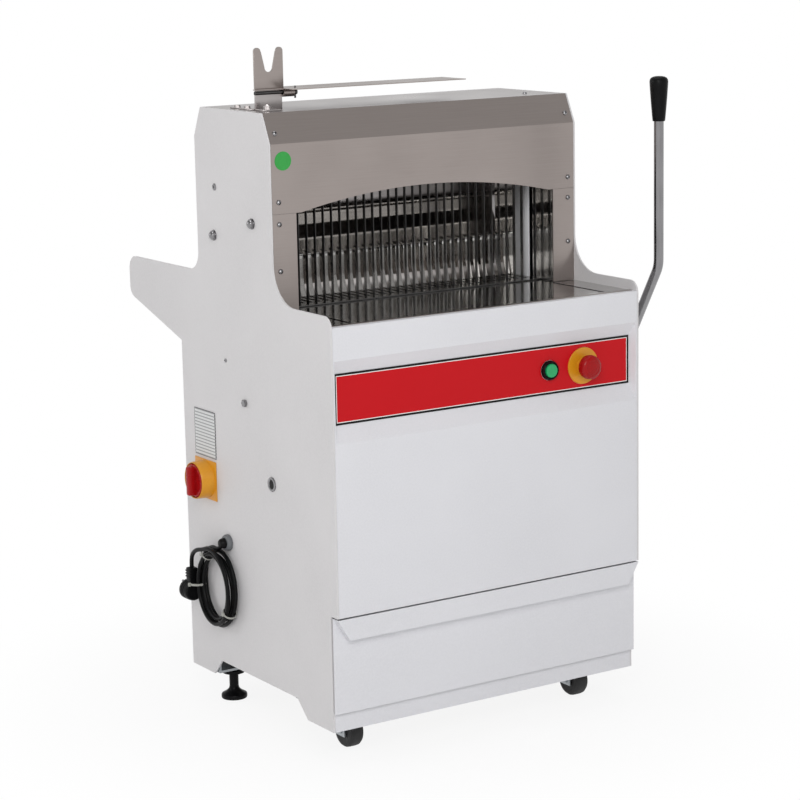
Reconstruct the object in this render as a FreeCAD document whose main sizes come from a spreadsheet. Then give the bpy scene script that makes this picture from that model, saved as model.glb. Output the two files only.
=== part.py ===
import FreeCAD, Part
import os
import re
import math
import Sketcher

os.makedirs("parts", exist_ok=True)
doc = FreeCAD.newDocument("bread_slicer")
vec = FreeCAD.Vector

# sizes
# x runs across the machine, y from the front cover backwards, z up from the floor.
sizes = doc.addObject("Spreadsheet::Sheet", "sizes")
places = doc.addObject("Spreadsheet::Sheet", "places")
owner = {}
rows = {"sizes": 0, "places": 0}


def size(name, value):
    rows["sizes"] += 1
    row = rows["sizes"]
    sizes.set("A%d" % row, name)
    sizes.set("B%d" % row, str(value))
    sizes.setAlias("B%d" % row, name)
    owner[name] = "sizes"


def full(text):
    """Put the sheet's name before every alias in an expression."""
    def sheet_name(word):
        alias = word.group()
        return owner[alias] + "." + alias if alias in owner else alias

    return re.sub(r"[A-Za-z_]\w*", sheet_name, str(text))


def place(name, text):
    rows["places"] += 1
    row = rows["places"]
    places.set("A%d" % row, name)
    places.set("B%d" % row, "=" + full(text))
    places.setAlias("B%d" % row, name)
    owner[name] = "places"


lengths = {
    "body_width": 600,  # width over the side panels
    "sheet": 3,  # side panel sheet
    "skin": 2,  # thinner sheet of covers and bed
    "gap": 0.3,  # clearance between neighbouring pieces
    "fit": 0.05,  # radial clearance of a running fit
    "floor_gap": 55,  # underside of the panels above the floor
    "front_setback": 20,  # lower front behind the cover face
    "cover_bottom": 247,  # lower edge of the front cover
    "bed_top": 709,  # working height of the bed
    "bed_start": 12,  # front edge of the bed behind the cover
    "slit_front": 9,  # bed plate ends ahead of the blade plane
    "slit_rear": 10,  # outfeed table begins behind the blade plane
    "wing_rear": 677,  # back of the outfeed wings
    "wing_below": 23,  # underside of the wings below the bed
    "wing_above": 45,  # top edge of the wings above the bed
    "wing_rise": 59,  # climb of the wings' underside
    "table_inset": 12,  # outfeed table ahead of the wings' back
    "hood_rear": 419,  # back of the upper housing
    "skirt_low": 836,  # lower edge of the rear skirt
    "flap_y": 402,  # hinge of the rear flap backwards
    "flap_high": 125,  # flap hinge above the flap's lower edge
    "flap_inset": 15,  # rear flap in from the panels
    "flap_clear": 7,  # lower edge of the rear flap above the bed
    "flap_sheet": 1.5,  # sheet of the rear flap
    "flap_rod": 4,  # radius of the flap rod
    "opening_y": 173,  # plane of the opening's flanges
    "roof": 1027,  # top of the housing
    "roof_front": 195,  # front edge of the roof
    "roof_rear": 396,  # rear edge of the roof
    "roof_bevel": 48,  # height of the bevels under the roof
    "shoulder_rise": 17,  # panel's shoulder above the bed
    "curve_radius": 62,  # hollow of the S curve
    "shoulder_radius": 20,  # round of the shoulder
    "wing_radius": 24,  # round of the wing corners
    "arch_inset": 47,  # opening's side in from the panels
    "arch_peak": 896,  # top of the opening's arch
    "arch_radius": 1082,  # radius of the arch
    "seam": 868,  # seam between hood and flanges
    "wall_inset": 46,  # inner walls in from the panels
    "wall_joint": 13,  # joint of the inner walls ahead of the blade plane
    "wall_gap": 9,  # width of that joint
    "wall_end": 344,  # rear fold of the inner walls
    "band_drop": 52,  # control band below the bed
    "band_high": 131,  # height of the control band
    "band_inset": 5.5,  # control band in from the panels
    "band_depth": 13.4,  # depth of the control band
    "strip_drop": 22,  # fascia strip below the band's upper edge
    "strip_high": 82,  # height of the fascia strip
    "strip_inset": 5.9,  # fascia strip in from the band's sides
    "button_drop": 41.5,  # both buttons below the strip's upper edge
    "button_space": 69,  # start button left of the emergency stop
    "estop_inset": 107,  # emergency stop in from the right panel
    "drawer_low": 86.3,  # lower edge of the drawer front
    "drawer_high": 244.5,  # upper edge of the drawer front
    "drawer_face": 13.5,  # plane of the drawer front
    "lip_face": -0.6,  # front of the drawer's grip lip
    "lip_high": 36,  # height of the lip
    "lip_mitre": 22,  # how far the lip's slanted ends lean in
    "drawer_deep": 430,  # length of the drawer pan
    "deck_top": 253,  # top of the drive deck
    "deck_start": 32,  # front edge of the drive deck
    "blade_pitch": 16,  # distance between two blades
    "blade_thick": 0.8,  # blade thickness
    "blade_deep": 7,  # blade depth
    "blade_plane": 247,  # middle plane of the blades
    "blade_low": 572,  # lower end of the blades
    "blade_high": 952,  # upper end of the blades
    "bar_high": 25,  # height of the frame bars
    "bar_deep": 14,  # depth of the frame bars
    "bar_off": 14,  # frame bar centre from the blade plane
    "post_inset": 34,  # frame posts in from the panels
    "post_wide": 16,  # width of the frame posts
    "post_low": 500,  # lower end of the frame posts
    "post_high": 1002,  # upper end of the frame posts
    "guide_high": 35,  # height of the guide blocks
    "guide_upper": 880,  # underside of the upper guide blocks
    "guide_lower": 610,  # underside of the lower guide blocks
    "crank_rise": 77,  # crankshaft above the drive deck
    "shaft_radius": 15,  # radius of the crankshaft
    "eccentric_radius": 38,  # radius of the eccentrics
    "throw": 20,  # throw of the eccentrics
    "eccentric_x": 60,  # eccentric from the middle
    "eccentric_wide": 24,  # width of an eccentric
    "ring_radius": 50,  # outer radius of the rod rings
    "rod_top": 500,  # height of the frame pins
    "pin_radius": 7,  # radius of the frame pins
    "bearing_x": 155,  # bearing block from the middle
    "bearing_wide": 26,  # width of a bearing block
    "pulley_x": 120,  # left side of the belt
    "pulley_wide": 14,  # width of the pulleys
    "crank_pulley_radius": 66,  # radius of the crank pulley
    "motor_pulley_radius": 32,  # radius of the motor pulley
    "belt_thick": 6,  # thickness of the belt
    "belt_centres": 153,  # motor axis behind the crankshaft
    "motor_inset": 90,  # motor axis ahead of the cabinet's back
    "motor_radius": 62,  # radius of the motor
    "motor_long": 170,  # length of the motor
    "motor_shaft_radius": 9,  # radius of the motor shaft
    "pivot_y": 158,  # lever shaft backwards
    "pivot_drop": 226,  # lever shaft below the guide rods
    "lever_shaft_radius": 12.5,  # radius of the lever shaft
    "lever_out": 50,  # plane of the lever out from the panel
    "lever_radius": 8.25,  # radius of the lever rod
    "lever_lean": 30.7,  # lean of the lower lever
    "lever_offset": 26,  # foot of the lever behind its shaft
    "bend_z": 745,  # height of the lever's bend
    "bend_radius": 45,  # radius of the lever's bend
    "lever_top": 990,  # top of the lever rod
    "knob_low": 987,  # lower end of the knob
    "knob_long": 74,  # length of the knob
    "knob_radius": 15.5,  # radius of the knob at the top
    "knob_neck": 10.5,  # radius of the knob at the bottom
    "arm_inset": 80,  # arms in from the panels
    "arm_thick": 8,  # thickness of the arms
    "arm_long": 235,  # length of the arms
    "arm_lean": 15,  # lean of the arms at the end of the stroke
    "roller_radius": 8,  # radius of the rollers
    "slot_front": 12,  # roller slot forward of the roller's centre
    "slot_rear": 8.6,  # roller slot behind the roller's centre
    "rod_inset": 48,  # guide rods in from the panels
    "rod_drop": 33,  # guide rods below the bed
    "rod_radius": 7,  # radius of the guide rods
    "rod_start": 15,  # front end of the guide rods
    "rod_end": 335,  # rear end of the guide rods
    "stroke": 180,  # stroke of the pusher
    "comb_front": 212,  # front edge of the comb at the end of the stroke
    "comb_inset": 48,  # comb in from the panels
    "comb_foot": 302,  # foot of the fingers
    "finger_wide": 9,  # width of a finger
    "tongue_start": 234,  # where the tongues begin
    "finger_lean": 8,  # lean of the lower finger
    "finger_step": 31,  # height of each half of a finger
    "hook_long": 12,  # length of the finger hooks
    "tab_inset": 52,  # comb tabs in from the panels
    "tab_thick": 3,  # thickness of the comb tabs
    "fork_y": 255,  # plane of the fork
    "fork_inset": 49,  # middle of the fork in from the left panel
    "fork_wide": 50,  # width of the fork
    "fork_low": 1060,  # lower edge of the fork
    "fork_high": 1127,  # tips of the fork
    "fork_notch": 30,  # width of the fork's notch
    "notch_bottom": 1089,  # bottom of the fork's notch
    "tray_end": 110,  # right end of the tray
    "tray_front": 221,  # front of the tray
    "tray_rear": 293,  # rear of the tray
    "tray_z": 1058,  # underside of the tray
    "caster_inset": 71.5,  # front casters in from the panels
    "caster_y": 91,  # front casters backwards
    "wheel_radius": 28,  # radius of the caster wheels
    "tread": 26,  # width of the caster wheels
    "trail": 20,  # caster wheel ahead of its swivel
    "foot_inset": 44,  # rear feet in from the panels
    "foot_y": 426,  # rear feet backwards
    "foot_radius": 22.5,  # radius of the rear feet
    "coil_y": 370,  # middle of the cord coil backwards
    "coil_z": 220,  # height of the cord coil
    "coil_radius": 60,  # middle radius of the cord coil
    "bundle": 10,  # radius of the coiled bundle
    "cord_radius": 3.7,  # radius of the mains cord
    "gland_y": 346,  # cable gland backwards
    "gland_z": 301,  # height of the cable gland
    "gland_radius": 14,  # radius of the cable gland
    "plug_z": 200,  # height of the plug
    "plug_radius": 17.5,  # radius of the plug
    "switch_y": 417.5,  # main switch backwards
    "switch_z": 398,  # height of the main switch
    "collar_radius": 31,  # radius of the switch collar
    "collar_out": 17,  # reach of the switch collar
    "handle_radius": 29,  # radius of the switch handle
    "knob_out": 38,  # reach of the main switch knob
}
for name, value in lengths.items():
    size(name, value)

place("half", "body_width / 2")
places_across = {
    "arch_half": "half - arch_inset",
    "wall_x": "half - wall_inset",
    "post_x": "half - post_inset",
    "comb_half": "half - comb_inset",
    "rod_x": "half - rod_inset",
    "arm_x": "half - arm_inset",
    "tab_x": "half - tab_inset",
    "caster_x": "half - caster_inset",
    "foot_x": "half - foot_inset",
    "flap_half": "half - flap_inset",
    "lever_x": "half + lever_out",
    "fork_x": "-half + fork_inset",
    "estop_x": "half - estop_inset",
    "start_x": "estop_x - button_space",
    "band_half": "half - band_inset",
    "strip_half": "band_half - strip_inset",
}
for name, text in places_across.items():
    place(name, text)
place("wing_low", "bed_top - wing_below")
place("wing_start", "wing_low - wing_rise")
place("wing_top", "bed_top + wing_above")
place("curve_top", "bed_top + shoulder_rise")
place("flap_low", "bed_top + flap_clear")
place("flap_z", "flap_low + flap_high")
place("crank_height", "deck_top + crank_rise")
place("band_top", "bed_top - band_drop")
place("band_bottom", "band_top - band_high")
place("strip_top", "band_top - strip_drop")
place("strip_bottom", "strip_top - strip_high")
place("button_height", "strip_top - button_drop")
place("rod_z", "bed_top - rod_drop")
place("pivot_z", "rod_z - pivot_drop")
place("motor_y", "blade_plane + belt_centres")
place("rear_depth", "motor_y + motor_inset")
place("inner", "half - sheet - gap")
place("front_out", "band_depth - 30")
place("roller_y", "pivot_y + arm_long * sin(arm_lean)")
place("bend_set", "bend_radius * tan(lever_lean / 2)")
place("upright_y", "pivot_y + lever_offset - (bend_z - pivot_z) * tan(lever_lean)")
place("origin_x", "((half + knob_out) - (lever_x + knob_radius)) / 2")
place("origin_y", "-(front_out + wing_rear) / 2")

made = {}
holders = []


# helpers
def bind(item, **links):
    for name, text in links.items():
        item.setExpression(name.replace("__", "."), full(text))
    return item


def fresh(kind, name):
    item = doc.addObject(kind, name)
    return item


def box(name, low_x, high_x, low_y, high_y, low_z, high_z):
    item = fresh("Part::Box", name)
    bind(item, Length="(%s) - (%s)" % (high_x, low_x), Width="(%s) - (%s)" % (high_y, low_y),
         Height="(%s) - (%s)" % (high_z, low_z))
    bind(item, Placement__Base__x=low_x, Placement__Base__y=low_y, Placement__Base__z=low_z)
    return item


turns = {"x": FreeCAD.Rotation(vec(0, 1, 0), 90), "y": FreeCAD.Rotation(vec(1, 0, 0), -90),
    "z": FreeCAD.Rotation()}


def round_bar(name, axis, x, y, z, long, radius, top_radius=None):
    """Cylinder or cone that starts at x, y, z and runs along the axis."""
    if top_radius is None:
        item = fresh("Part::Cylinder", name)
        bind(item, Radius=radius, Height=long)
    else:
        item = fresh("Part::Cone", name)
        bind(item, Radius1=radius, Radius2=top_radius, Height=long)
    item.Placement = FreeCAD.Placement(vec(0, 0, 0), turns[axis])
    bind(item, Placement__Base__x=x, Placement__Base__y=y, Placement__Base__z=z)
    return item


def ball(name, x, y, z, radius):
    item = fresh("Part::Sphere", name)
    bind(item, Radius=radius, Placement__Base__x=x, Placement__Base__y=y, Placement__Base__z=z)
    return item


def fuse(name, parts):
    if len(parts) == 1:
        return parts[0]
    item = fresh("Part::MultiFuse", name)
    item.Shapes = parts
    item.Refine = True
    return item


def cut(name, base, tools):
    item = fresh("Part::Cut", name)
    item.Base = base
    item.Tool = fuse(name + "_tools", tools)
    item.Refine = True
    return item


def common(name, first, second):
    item = fresh("Part::MultiCommon", name)
    item.Shapes = [first, second]
    return item


planes = {"yz": "YZ_Plane", "xz": "XZ_Plane", "xy": "XY_Plane"}


def profile(name, plane, start, thick, points):
    """Sheet or bar of one section padded from start: points are (u, v) or (u, v, corner radius)."""
    body = fresh("PartDesign::Body", name)
    sketch = body.newObject("Sketcher::SketchObject", name + "_section")
    base = [f for f in body.Origin.OriginFeatures if f.Role == planes[plane]][0]
    sketch.AttachmentSupport = [(base, "")]
    sketch.MapMode = "FlatFace"
    sketch.setExpression("AttachmentOffset.Base.z", full("-(%s)" % start if plane == "xz" else start))
    count = len(points)
    ring = [vec(100 * math.cos(2 * math.pi * i / count), 100 * math.sin(2 * math.pi * i / count), 0)
            for i in range(count)]
    for i in range(count):
        sketch.addGeometry(Part.LineSegment(ring[i], ring[(i + 1) % count]), False)
    for i in range(count):
        sketch.addConstraint(Sketcher.Constraint("Coincident", i, 2, (i + 1) % count, 1))
    for i, point in enumerate(points):
        for kind, text in (("DistanceX", point[0]), ("DistanceY", point[1])):
            row = sketch.addConstraint(Sketcher.Constraint(kind, -1, 1, i, 1, 1.0))
            sketch.setExpression("Constraints[%d]" % row, full(text))
    pad = body.newObject("PartDesign::Pad", name + "_pad")
    pad.Profile = sketch
    pad.Reversed = plane == "xz"
    bind(pad, Length=thick)
    doc.recompute()
    last = pad
    radii = sorted({str(p[2]) for p in points if len(p) > 2})
    for number, radius in enumerate(radii):
        corners = [sketch.getPoint(i, 1) for i,
            p in enumerate(points) if len(p) > 2 and str(p[2]) == radius]
        edges = []
        for index, edge in enumerate(last.Shape.Edges):
            ends = [v.Point for v in edge.Vertexes]
            if len(ends) != 2:
                continue
            flat = [on_plane(plane, e) for e in ends]
            if flat[0].distanceToPoint(flat[1]) > 0.001:
                continue
            if any(flat[0].distanceToPoint(vec(c.x, c.y, 0)) < 0.01 for c in corners):
                edges.append("Edge%d" % (index + 1))
        fillet = body.newObject("PartDesign::Fillet", "%s_round_%d" % (name, number))
        fillet.Base = (last, edges)
        bind(fillet, Radius=radius)
        doc.recompute()
        last = fillet
    body.Tip = last
    return body


def on_plane(plane, point):
    if plane == "yz":
        return vec(point.y, point.z, 0)
    if plane == "xz":
        return vec(point.x, point.z, 0)
    return vec(point.x, point.y, 0)


def mirrored(name, source):
    """Mirror image across the middle plane."""
    item = fresh("Part::Mirroring", name)
    item.Source = source
    item.Normal = vec(1, 0, 0)
    return item


def group(name, parts):
    item = fresh("Part::Compound", name)
    item.Links = parts
    return item


def node(label, item):
    """Finish one named piece: it takes the machine's origin."""
    holder = fresh("Part::Compound", label + "_piece")
    holder.Links = [item]
    holder.Label = label
    bind(holder, Placement__Base__x="origin_x", Placement__Base__y="origin_y")
    made[label] = holder
    return holder


def pair(name, item):
    return group(name, [item, mirrored(name + "_other", item)])


# blades on each side of the middle one, as many as the opening holds
blades_aside = int((lengths["body_width"] / 2 - lengths["arch_inset"]) / lengths["blade_pitch"])

# side panels
panel_edge = [
    ("front_setback", "floor_gap"), ("100", "floor_gap"), ("132", "floor_gap + 29"),
        ("385", "floor_gap + 29"),
    ("412", "floor_gap"), ("rear_depth", "floor_gap"), ("rear_depth", "wing_start"),
    ("wing_rear", "wing_low", "wing_radius - 4"), ("wing_rear", "wing_top", "wing_radius"),
    ("hood_rear", "wing_top", "wing_radius + 8"), ("hood_rear", "roof - roof_bevel"),
        ("roof_rear", "roof"),
    ("roof_front", "roof"), ("opening_y", "roof - roof_bevel"), ("opening_y", "curve_top",
        "curve_radius"),
    ("0", "curve_top", "shoulder_radius"), ("0", "cover_bottom"), ("front_setback", "cover_bottom"),
]
left_sheet = profile("left_sheet", "yz", "-half", "sheet", panel_edge)
right_sheet = profile("right_sheet", "yz", "half - sheet", "sheet", panel_edge)
lever_hole = round_bar("lever_hole", "x", "half - 10", "pivot_y", "pivot_z", "20",
    "lever_shaft_radius + 1")
switch_hole = round_bar("switch_hole", "x", "-half - 10", "switch_y", "switch_z", "20", "13")
node("side_panel_left", cut("left_sheet_cut", left_sheet, [switch_hole]))
node("side_panel_right", cut("right_sheet_cut", right_sheet, [lever_hole]))

# front cover with its recessed band


def frustum(name, grow, depth):
    """Recess of the control band: four sloped sides and a flat floor."""
    item = fresh("Part::Wedge", name)
    bind(item, Xmin="-band_half - (%s)" % grow, Xmax="band_half + (%s)" % grow, Ymin="0", Ymax=depth,
         Zmin="band_bottom - (%s)" % grow, Zmax="band_top + (%s)" % grow,
         X2min="-strip_half - (%s)" % grow, X2max="strip_half + (%s)" % grow,
         Z2min="strip_bottom - (%s)" % grow, Z2max="strip_top + (%s)" % grow)
    return item


cover_face = box("cover_face", "-inner", "inner", "0", "skin", "cover_bottom", "bed_top")
cover_top = box("cover_top", "-inner", "inner", "0", "bed_start", "bed_top - skin", "bed_top")
cover_foot = box("cover_foot", "-inner", "inner", "0", "front_setback", "cover_bottom",
    "cover_bottom + skin")
cover_sides = pair("cover_sides", box("cover_side", "inner - 2", "inner", "0", "bed_start",
    "cover_bottom",
    "bed_top"))
cover_shell = fuse("cover_shell", [cover_face, cover_top, cover_foot, cover_sides,
                                   frustum("band_outside", "1.9", "band_depth + skin")])
button_holes = [
    round_bar("start_hole", "y", "start_x", "0", "button_height", "30", "11.5"),
    round_bar("estop_hole", "y", "estop_x", "0", "button_height", "30", "11.5"),
]
node("front_cover", cut("cover_cut", cover_shell, [frustum("band_inside", "0",
    "band_depth")] + button_holes))
strip = box("strip", "-strip_half + gap", "strip_half - gap", "band_depth - 0.8", "band_depth",
            "strip_bottom + gap", "strip_top - gap")
strip_holes = [
    round_bar("strip_start_hole", "y", "start_x", "0", "button_height", "30", "16.8"),
    round_bar("strip_estop_hole", "y", "estop_x", "0", "button_height", "30", "30.9"),
]
node("fascia_strip", cut("strip_cut", strip, strip_holes))

# buttons
start_ring = round_bar("start_ring", "y", "start_x", "band_depth - 8", "button_height", "8", "16.2")
start_tube = round_bar("start_tube", "y", "start_x", "band_depth - 8", "button_height", "30", "11")
start_bore = round_bar("start_bore", "y", "start_x", "band_depth - 9", "button_height", "26", "9 + gap")
start_block = box("start_block", "start_x - 15", "start_x + 15", "band_depth + 22", "band_depth + 58",
                  "button_height - 20", "button_height + 20")
node("start_bezel", cut("start_cut", fuse("start_fixed", [start_ring, start_tube, start_block]),
    [start_bore]))
start_cap = round_bar("start_cap", "y", "start_x", "band_depth - 9.5", "button_height", "22.2", "9")
node("start_button", start_cap)
estop_disc = round_bar("estop_disc", "y", "estop_x", "band_depth - 2.5", "button_height", "2.5", "30.6")
estop_collar = round_bar("estop_collar", "y", "estop_x", "band_depth - 9", "button_height", "8", "14")
estop_tube = round_bar("estop_tube", "y", "estop_x", "band_depth - 3", "button_height", "26", "11")
estop_bore = round_bar("estop_bore", "y", "estop_x", "band_depth - 12", "button_height", "30",
    "7 + gap")
estop_block = box("estop_block", "estop_x - 15", "estop_x + 15", "band_depth + 22", "band_depth + 58",
                  "button_height - 20", "button_height + 20")
node("estop_ring", cut("estop_cut", fuse("estop_fixed", [estop_disc, estop_collar, estop_tube,
    estop_block]),
                       [estop_bore]))
estop_head = round_bar("estop_head", "y", "estop_x", "band_depth - 25", "button_height", "11", "20")
estop_dome = common("estop_dome", ball("estop_ball", "estop_x", "front_out + 34", "button_height",
    "34"),
                    round_bar("estop_dome_limit", "y", "estop_x", "band_depth - 30.4", "button_height",
                        "12", "20"))
estop_stem = round_bar("estop_stem", "y", "estop_x", "band_depth - 20", "button_height", "32", "7")
node("estop_button", fuse("estop_moving", [estop_head, estop_dome, estop_stem]))

# drawer
drawer_skin = box("drawer_skin", "-half", "half", "drawer_face", "drawer_face + skin", "drawer_low",
    "drawer_high")
lip_outer = profile("lip_outer", "xz", "lip_face", "drawer_face - lip_face + skin / 2", [
    ("-half + lip_mitre", "drawer_high - lip_high"), ("half - lip_mitre", "drawer_high - lip_high"),
    ("half - 0.5", "drawer_high"), ("-half + 0.5", "drawer_high"),
])
lip_inner = profile("lip_inner", "xz", "lip_face + skin", "drawer_face - lip_face", [
    ("-half + lip_mitre + 2", "drawer_high - lip_high + skin"),
    ("half - lip_mitre - 2", "drawer_high - lip_high + skin"),
    ("half - 2", "drawer_high + 1"), ("-half + 2", "drawer_high + 1"),
])
drawer_lip = cut("drawer_lip", lip_outer, [lip_inner])
node("drawer_front", fuse("drawer_front_all", [drawer_skin, drawer_lip]))
pan_block = box("pan_block", "-half + 17", "half - 17", "drawer_face + skin",
    "drawer_face + drawer_deep",
                "drawer_low + 8", "drawer_high - 24")
pan_space = box("pan_space", "-half + 19", "half - 19", "drawer_face + skin * 2",
    "drawer_face + drawer_deep - skin",
                "drawer_low + 10", "drawer_high")
runner = box("runner", "half - 17", "half - 9", "front_setback + 6", "drawer_face + drawer_deep",
             "drawer_low + 60", "drawer_low + 63")
node("drawer_pan", fuse("drawer_moving", [cut("pan_cut", pan_block, [pan_space]), pair("runners",
    runner)]))

# plinth, base frame and drawer rails
node("plinth", fuse("plinth_parts", [
    box("plinth_face", "-inner", "inner", "front_setback", "front_setback + skin", "floor_gap",
        "drawer_low - gap"),
    box("plinth_shelf", "-inner", "inner", "front_setback", "front_setback + 30",
        "drawer_low - gap - skin",
        "drawer_low - gap"),
]))
rail = fuse("rail", [
    box("rail_web", "inner - 3", "inner", "front_setback + 3", "rear_depth - 6", "drawer_low + 45",
        "drawer_low + 75"),
    box("rail_low", "half - 14", "inner", "front_setback + 3", "rear_depth - 6", "drawer_low + 57",
        "drawer_low + 60 - gap"),
    box("rail_high", "half - 14", "inner", "front_setback + 3", "rear_depth - 6",
        "drawer_low + 63 + gap",
        "drawer_low + 66"),
])
caster_plate = box("caster_plate", "caster_x - 30", "inner", "caster_y + trail - 32",
    "caster_y + trail + 32",
                   "floor_gap + 26", "floor_gap + 30")
foot_plate = box("foot_plate", "foot_x - 32", "inner", "foot_y - 26", "foot_y + 26", "floor_gap + 2",
                 "floor_gap + 6")
foot_web = box("foot_web", "inner - 3", "inner", "foot_y - 26", "foot_y + 26", "floor_gap + 2",
    "floor_gap + 34")
foot_hole = round_bar("foot_hole", "z", "foot_x", "foot_y", "floor_gap", "20", "6 + gap")
long_rail = box("long_rail", "half - 40", "inner", "front_setback + 31", "rear_depth - 4",
    "floor_gap + 30",
                "floor_gap + 33")
cross_front = box("cross_front", "-inner", "inner", "caster_y + trail - 36", "caster_y + trail - 32",
                  "floor_gap + 19", "floor_gap + 33")
cross_rear = box("cross_rear", "-inner", "inner", "rear_depth - 8", "rear_depth - 4", "floor_gap + 8",
                 "floor_gap + 33")
swivel_hole = round_bar("swivel_hole", "z", "caster_x", "caster_y + trail", "floor_gap + 20", "20",
    "8 + gap")
base_side = cut("base_side", fuse("base_side_parts", [rail, caster_plate, foot_plate, foot_web,
    long_rail]),
                [foot_hole, swivel_hole])
node("base_frame", fuse("base_frame_parts", [pair("base_sides", base_side), cross_front, cross_rear]))

# casters and feet


def caster(side, sign):
    """Swivel fork with a single wheel."""
    x = "%s * caster_x" % sign
    cheeks = []
    for number, shift in enumerate(("tread / 2 + 1", "-tread / 2 - 3.5")):
        cheeks.append(box("cheek_%s_%d" % (side, number), "%s + %s" % (x, shift), "%s + %s + 2.5" % (x,
            shift),
                          "caster_y - 12", "caster_y + 18", "wheel_radius - 8", "floor_gap + 14"))
    yoke = box("yoke_" + side, x + " - tread / 2 - 3.5", x + " + tread / 2 + 3.5", "caster_y - 12",
               "caster_y + trail + 22", "floor_gap + 13", "floor_gap + 17")
    race = round_bar("race_" + side, "z", x, "caster_y + trail", "floor_gap + 17", "9 - gap", "24")
    stem = round_bar("stem_" + side, "z", x, "caster_y + trail", "floor_gap + 20", "12", "8")
    axle = round_bar("axle_" + side, "x", x + " - tread / 2 - 5", "caster_y", "wheel_radius",
        "tread + 10", "4")
    node("caster_fork_" + side, fuse("caster_moving_" + side, cheeks + [yoke, race, stem, axle]))
    tyre = round_bar("tyre_" + side, "x", x + " - tread / 2", "caster_y", "wheel_radius", "tread",
        "wheel_radius")
    bore = round_bar("wheel_bore_" + side, "x", x + " - tread", "caster_y", "wheel_radius", "tread * 2",
                     "4 + fit")
    rounded = fresh("Part::Fillet", "tyre_round_" + side)
    doc.recompute()
    rounded.Base = tyre
    rounded.Edges = [(index + 1, 6, 6) for index, edge in enumerate(tyre.Shape.Edges)
                     if edge.Curve.TypeId == "Part::GeomCircle"]
    node("caster_wheel_" + side, cut("wheel_cut_" + side, rounded, [bore]))


caster("left", "-1")
caster("right", "1")
for side, sign in (("left", "-1"), ("right", "1")):
    x = "%s * foot_x" % sign
    node("levelling_foot_" + side, fuse("foot_parts_" + side, [
        round_bar("foot_pad_" + side, "z", x, "foot_y", "0", "9", "foot_radius"),
        round_bar("foot_cone_" + side, "z", x, "foot_y", "9", "9", "foot_radius - 2", "11"),
        round_bar("foot_neck_" + side, "z", x, "foot_y", "18", "29", "8"),
        round_bar("foot_flange_" + side, "z", x, "foot_y", "floor_gap - 9", "6", "20"),
        round_bar("foot_stud_" + side, "z", x, "foot_y", "30", "floor_gap - 5", "6"),
    ]))

# rear panel and deck
rear_edge = [
    ("rear_depth - skin", "floor_gap + 33"), ("rear_depth", "floor_gap + 33"), ("rear_depth",
        "wing_start"),
    ("wing_rear - table_inset", "wing_low - 3"), ("wing_rear - table_inset", "wing_low - 1"),
        ("rear_depth - skin",
        "wing_start + 2"),
]
node("rear_panel", profile("rear_sheet", "yz", "-inner", "inner * 2", rear_edge))
deck_flat = box("deck_flat", "-inner", "inner", "deck_start", "rear_depth - skin", "deck_top - 3",
    "deck_top")
deck_holes = [
    box("deck_front_hole", "-half + 60", "half - 60", "deck_start + 20", "pivot_y + 30",
        "deck_top - 10",
        "deck_top + 5"),
    pair("deck_side_holes", box("deck_side_hole", "bearing_x + 25", "half - 40", "pivot_y + 40",
        "motor_y + 40",
                                "deck_top - 10", "deck_top + 5")),
]
node("drive_deck", cut("deck_cut", deck_flat, deck_holes))

# hood, flanges, roof
hood_edge = [
    ("opening_y", "seam + gap"), ("opening_y", "roof - roof_bevel"), ("roof_front", "roof"),
    ("roof_front + skin + 1", "roof - skin"), ("opening_y + skin", "roof - roof_bevel - 0.5"),
    ("opening_y + skin", "seam + gap"),
]
hood_sheet = profile("hood_sheet", "yz", "-inner", "inner * 2", hood_edge)
arch = common("arch", round_bar("arch_disc", "y", "0", "opening_y - 10", "arch_peak - arch_radius",
    "30",
                                "arch_radius"),
              box("arch_limit", "-arch_half", "arch_half", "opening_y - 10", "opening_y + 10",
                  "seam - 20",
                  "arch_peak + 5"))
node("hood", cut("hood_cut", hood_sheet, [arch]))
node("opening_flanges", pair("flanges", box("flange", "arch_half", "inner", "opening_y",
    "opening_y + skin",
                                            "bed_top + gap", "seam")))
roof_edge = [
    ("roof_front + gap * 2", "roof"), ("roof_rear", "roof"), ("hood_rear", "roof - roof_bevel"),
    ("hood_rear", "skirt_low"), ("hood_rear - skin", "skirt_low"),
    ("hood_rear - skin", "roof - roof_bevel - 0.4"), ("roof_rear - 1", "roof - skin"),
    ("roof_front + skin * 2", "roof - skin"),
]
node("top_cover", profile("roof_sheet", "yz", "-inner", "inner * 2", roof_edge))
wall_front = box("wall_front", "wall_x", "wall_x + skin", "opening_y + skin",
    "blade_plane - wall_joint", "bed_top + gap",
    "arch_peak + 9")
wall_rear = fuse("wall_rear", [
    box("wall_rear_sheet", "wall_x", "wall_x + skin", "blade_plane - wall_joint + wall_gap", "wall_end",
        "bed_top + gap", "arch_peak + 9"),
    box("wall_rear_fold", "wall_x", "inner", "wall_end", "wall_end + skin", "bed_top + gap",
        "arch_peak + 9"),
])
node("inner_walls", pair("walls", group("wall_parts", [wall_front, wall_rear])))
flap_hinge = round_bar("flap_hinge", "x", "-inner", "flap_y", "flap_z", "inner * 2", "flap_rod")
node("flap_rod", flap_hinge)
flap_edge = [
    ("flap_y - flap_sheet / 2", "flap_z"), ("flap_y + flap_sheet / 2", "flap_z"),
    ("flap_y + flap_sheet / 2", "flap_z - 24", "9"), ("flap_y + flap_sheet / 2 - 13", "flap_z - 46",
        "9"),
    ("flap_y + flap_sheet / 2 - 8", "flap_low"), ("flap_y - flap_sheet / 2 - 8", "flap_low"),
    ("flap_y - flap_sheet / 2 - 13", "flap_z - 46", "9"), ("flap_y - flap_sheet / 2", "flap_z - 24",
        "9"),
]
flap_sheet_solid = profile("flap_plate", "yz", "-flap_half", "flap_half * 2", flap_edge)
flap_tube = round_bar("flap_tube", "x", "-flap_half", "flap_y", "flap_z", "flap_half * 2",
    "flap_rod + 1.5")
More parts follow.
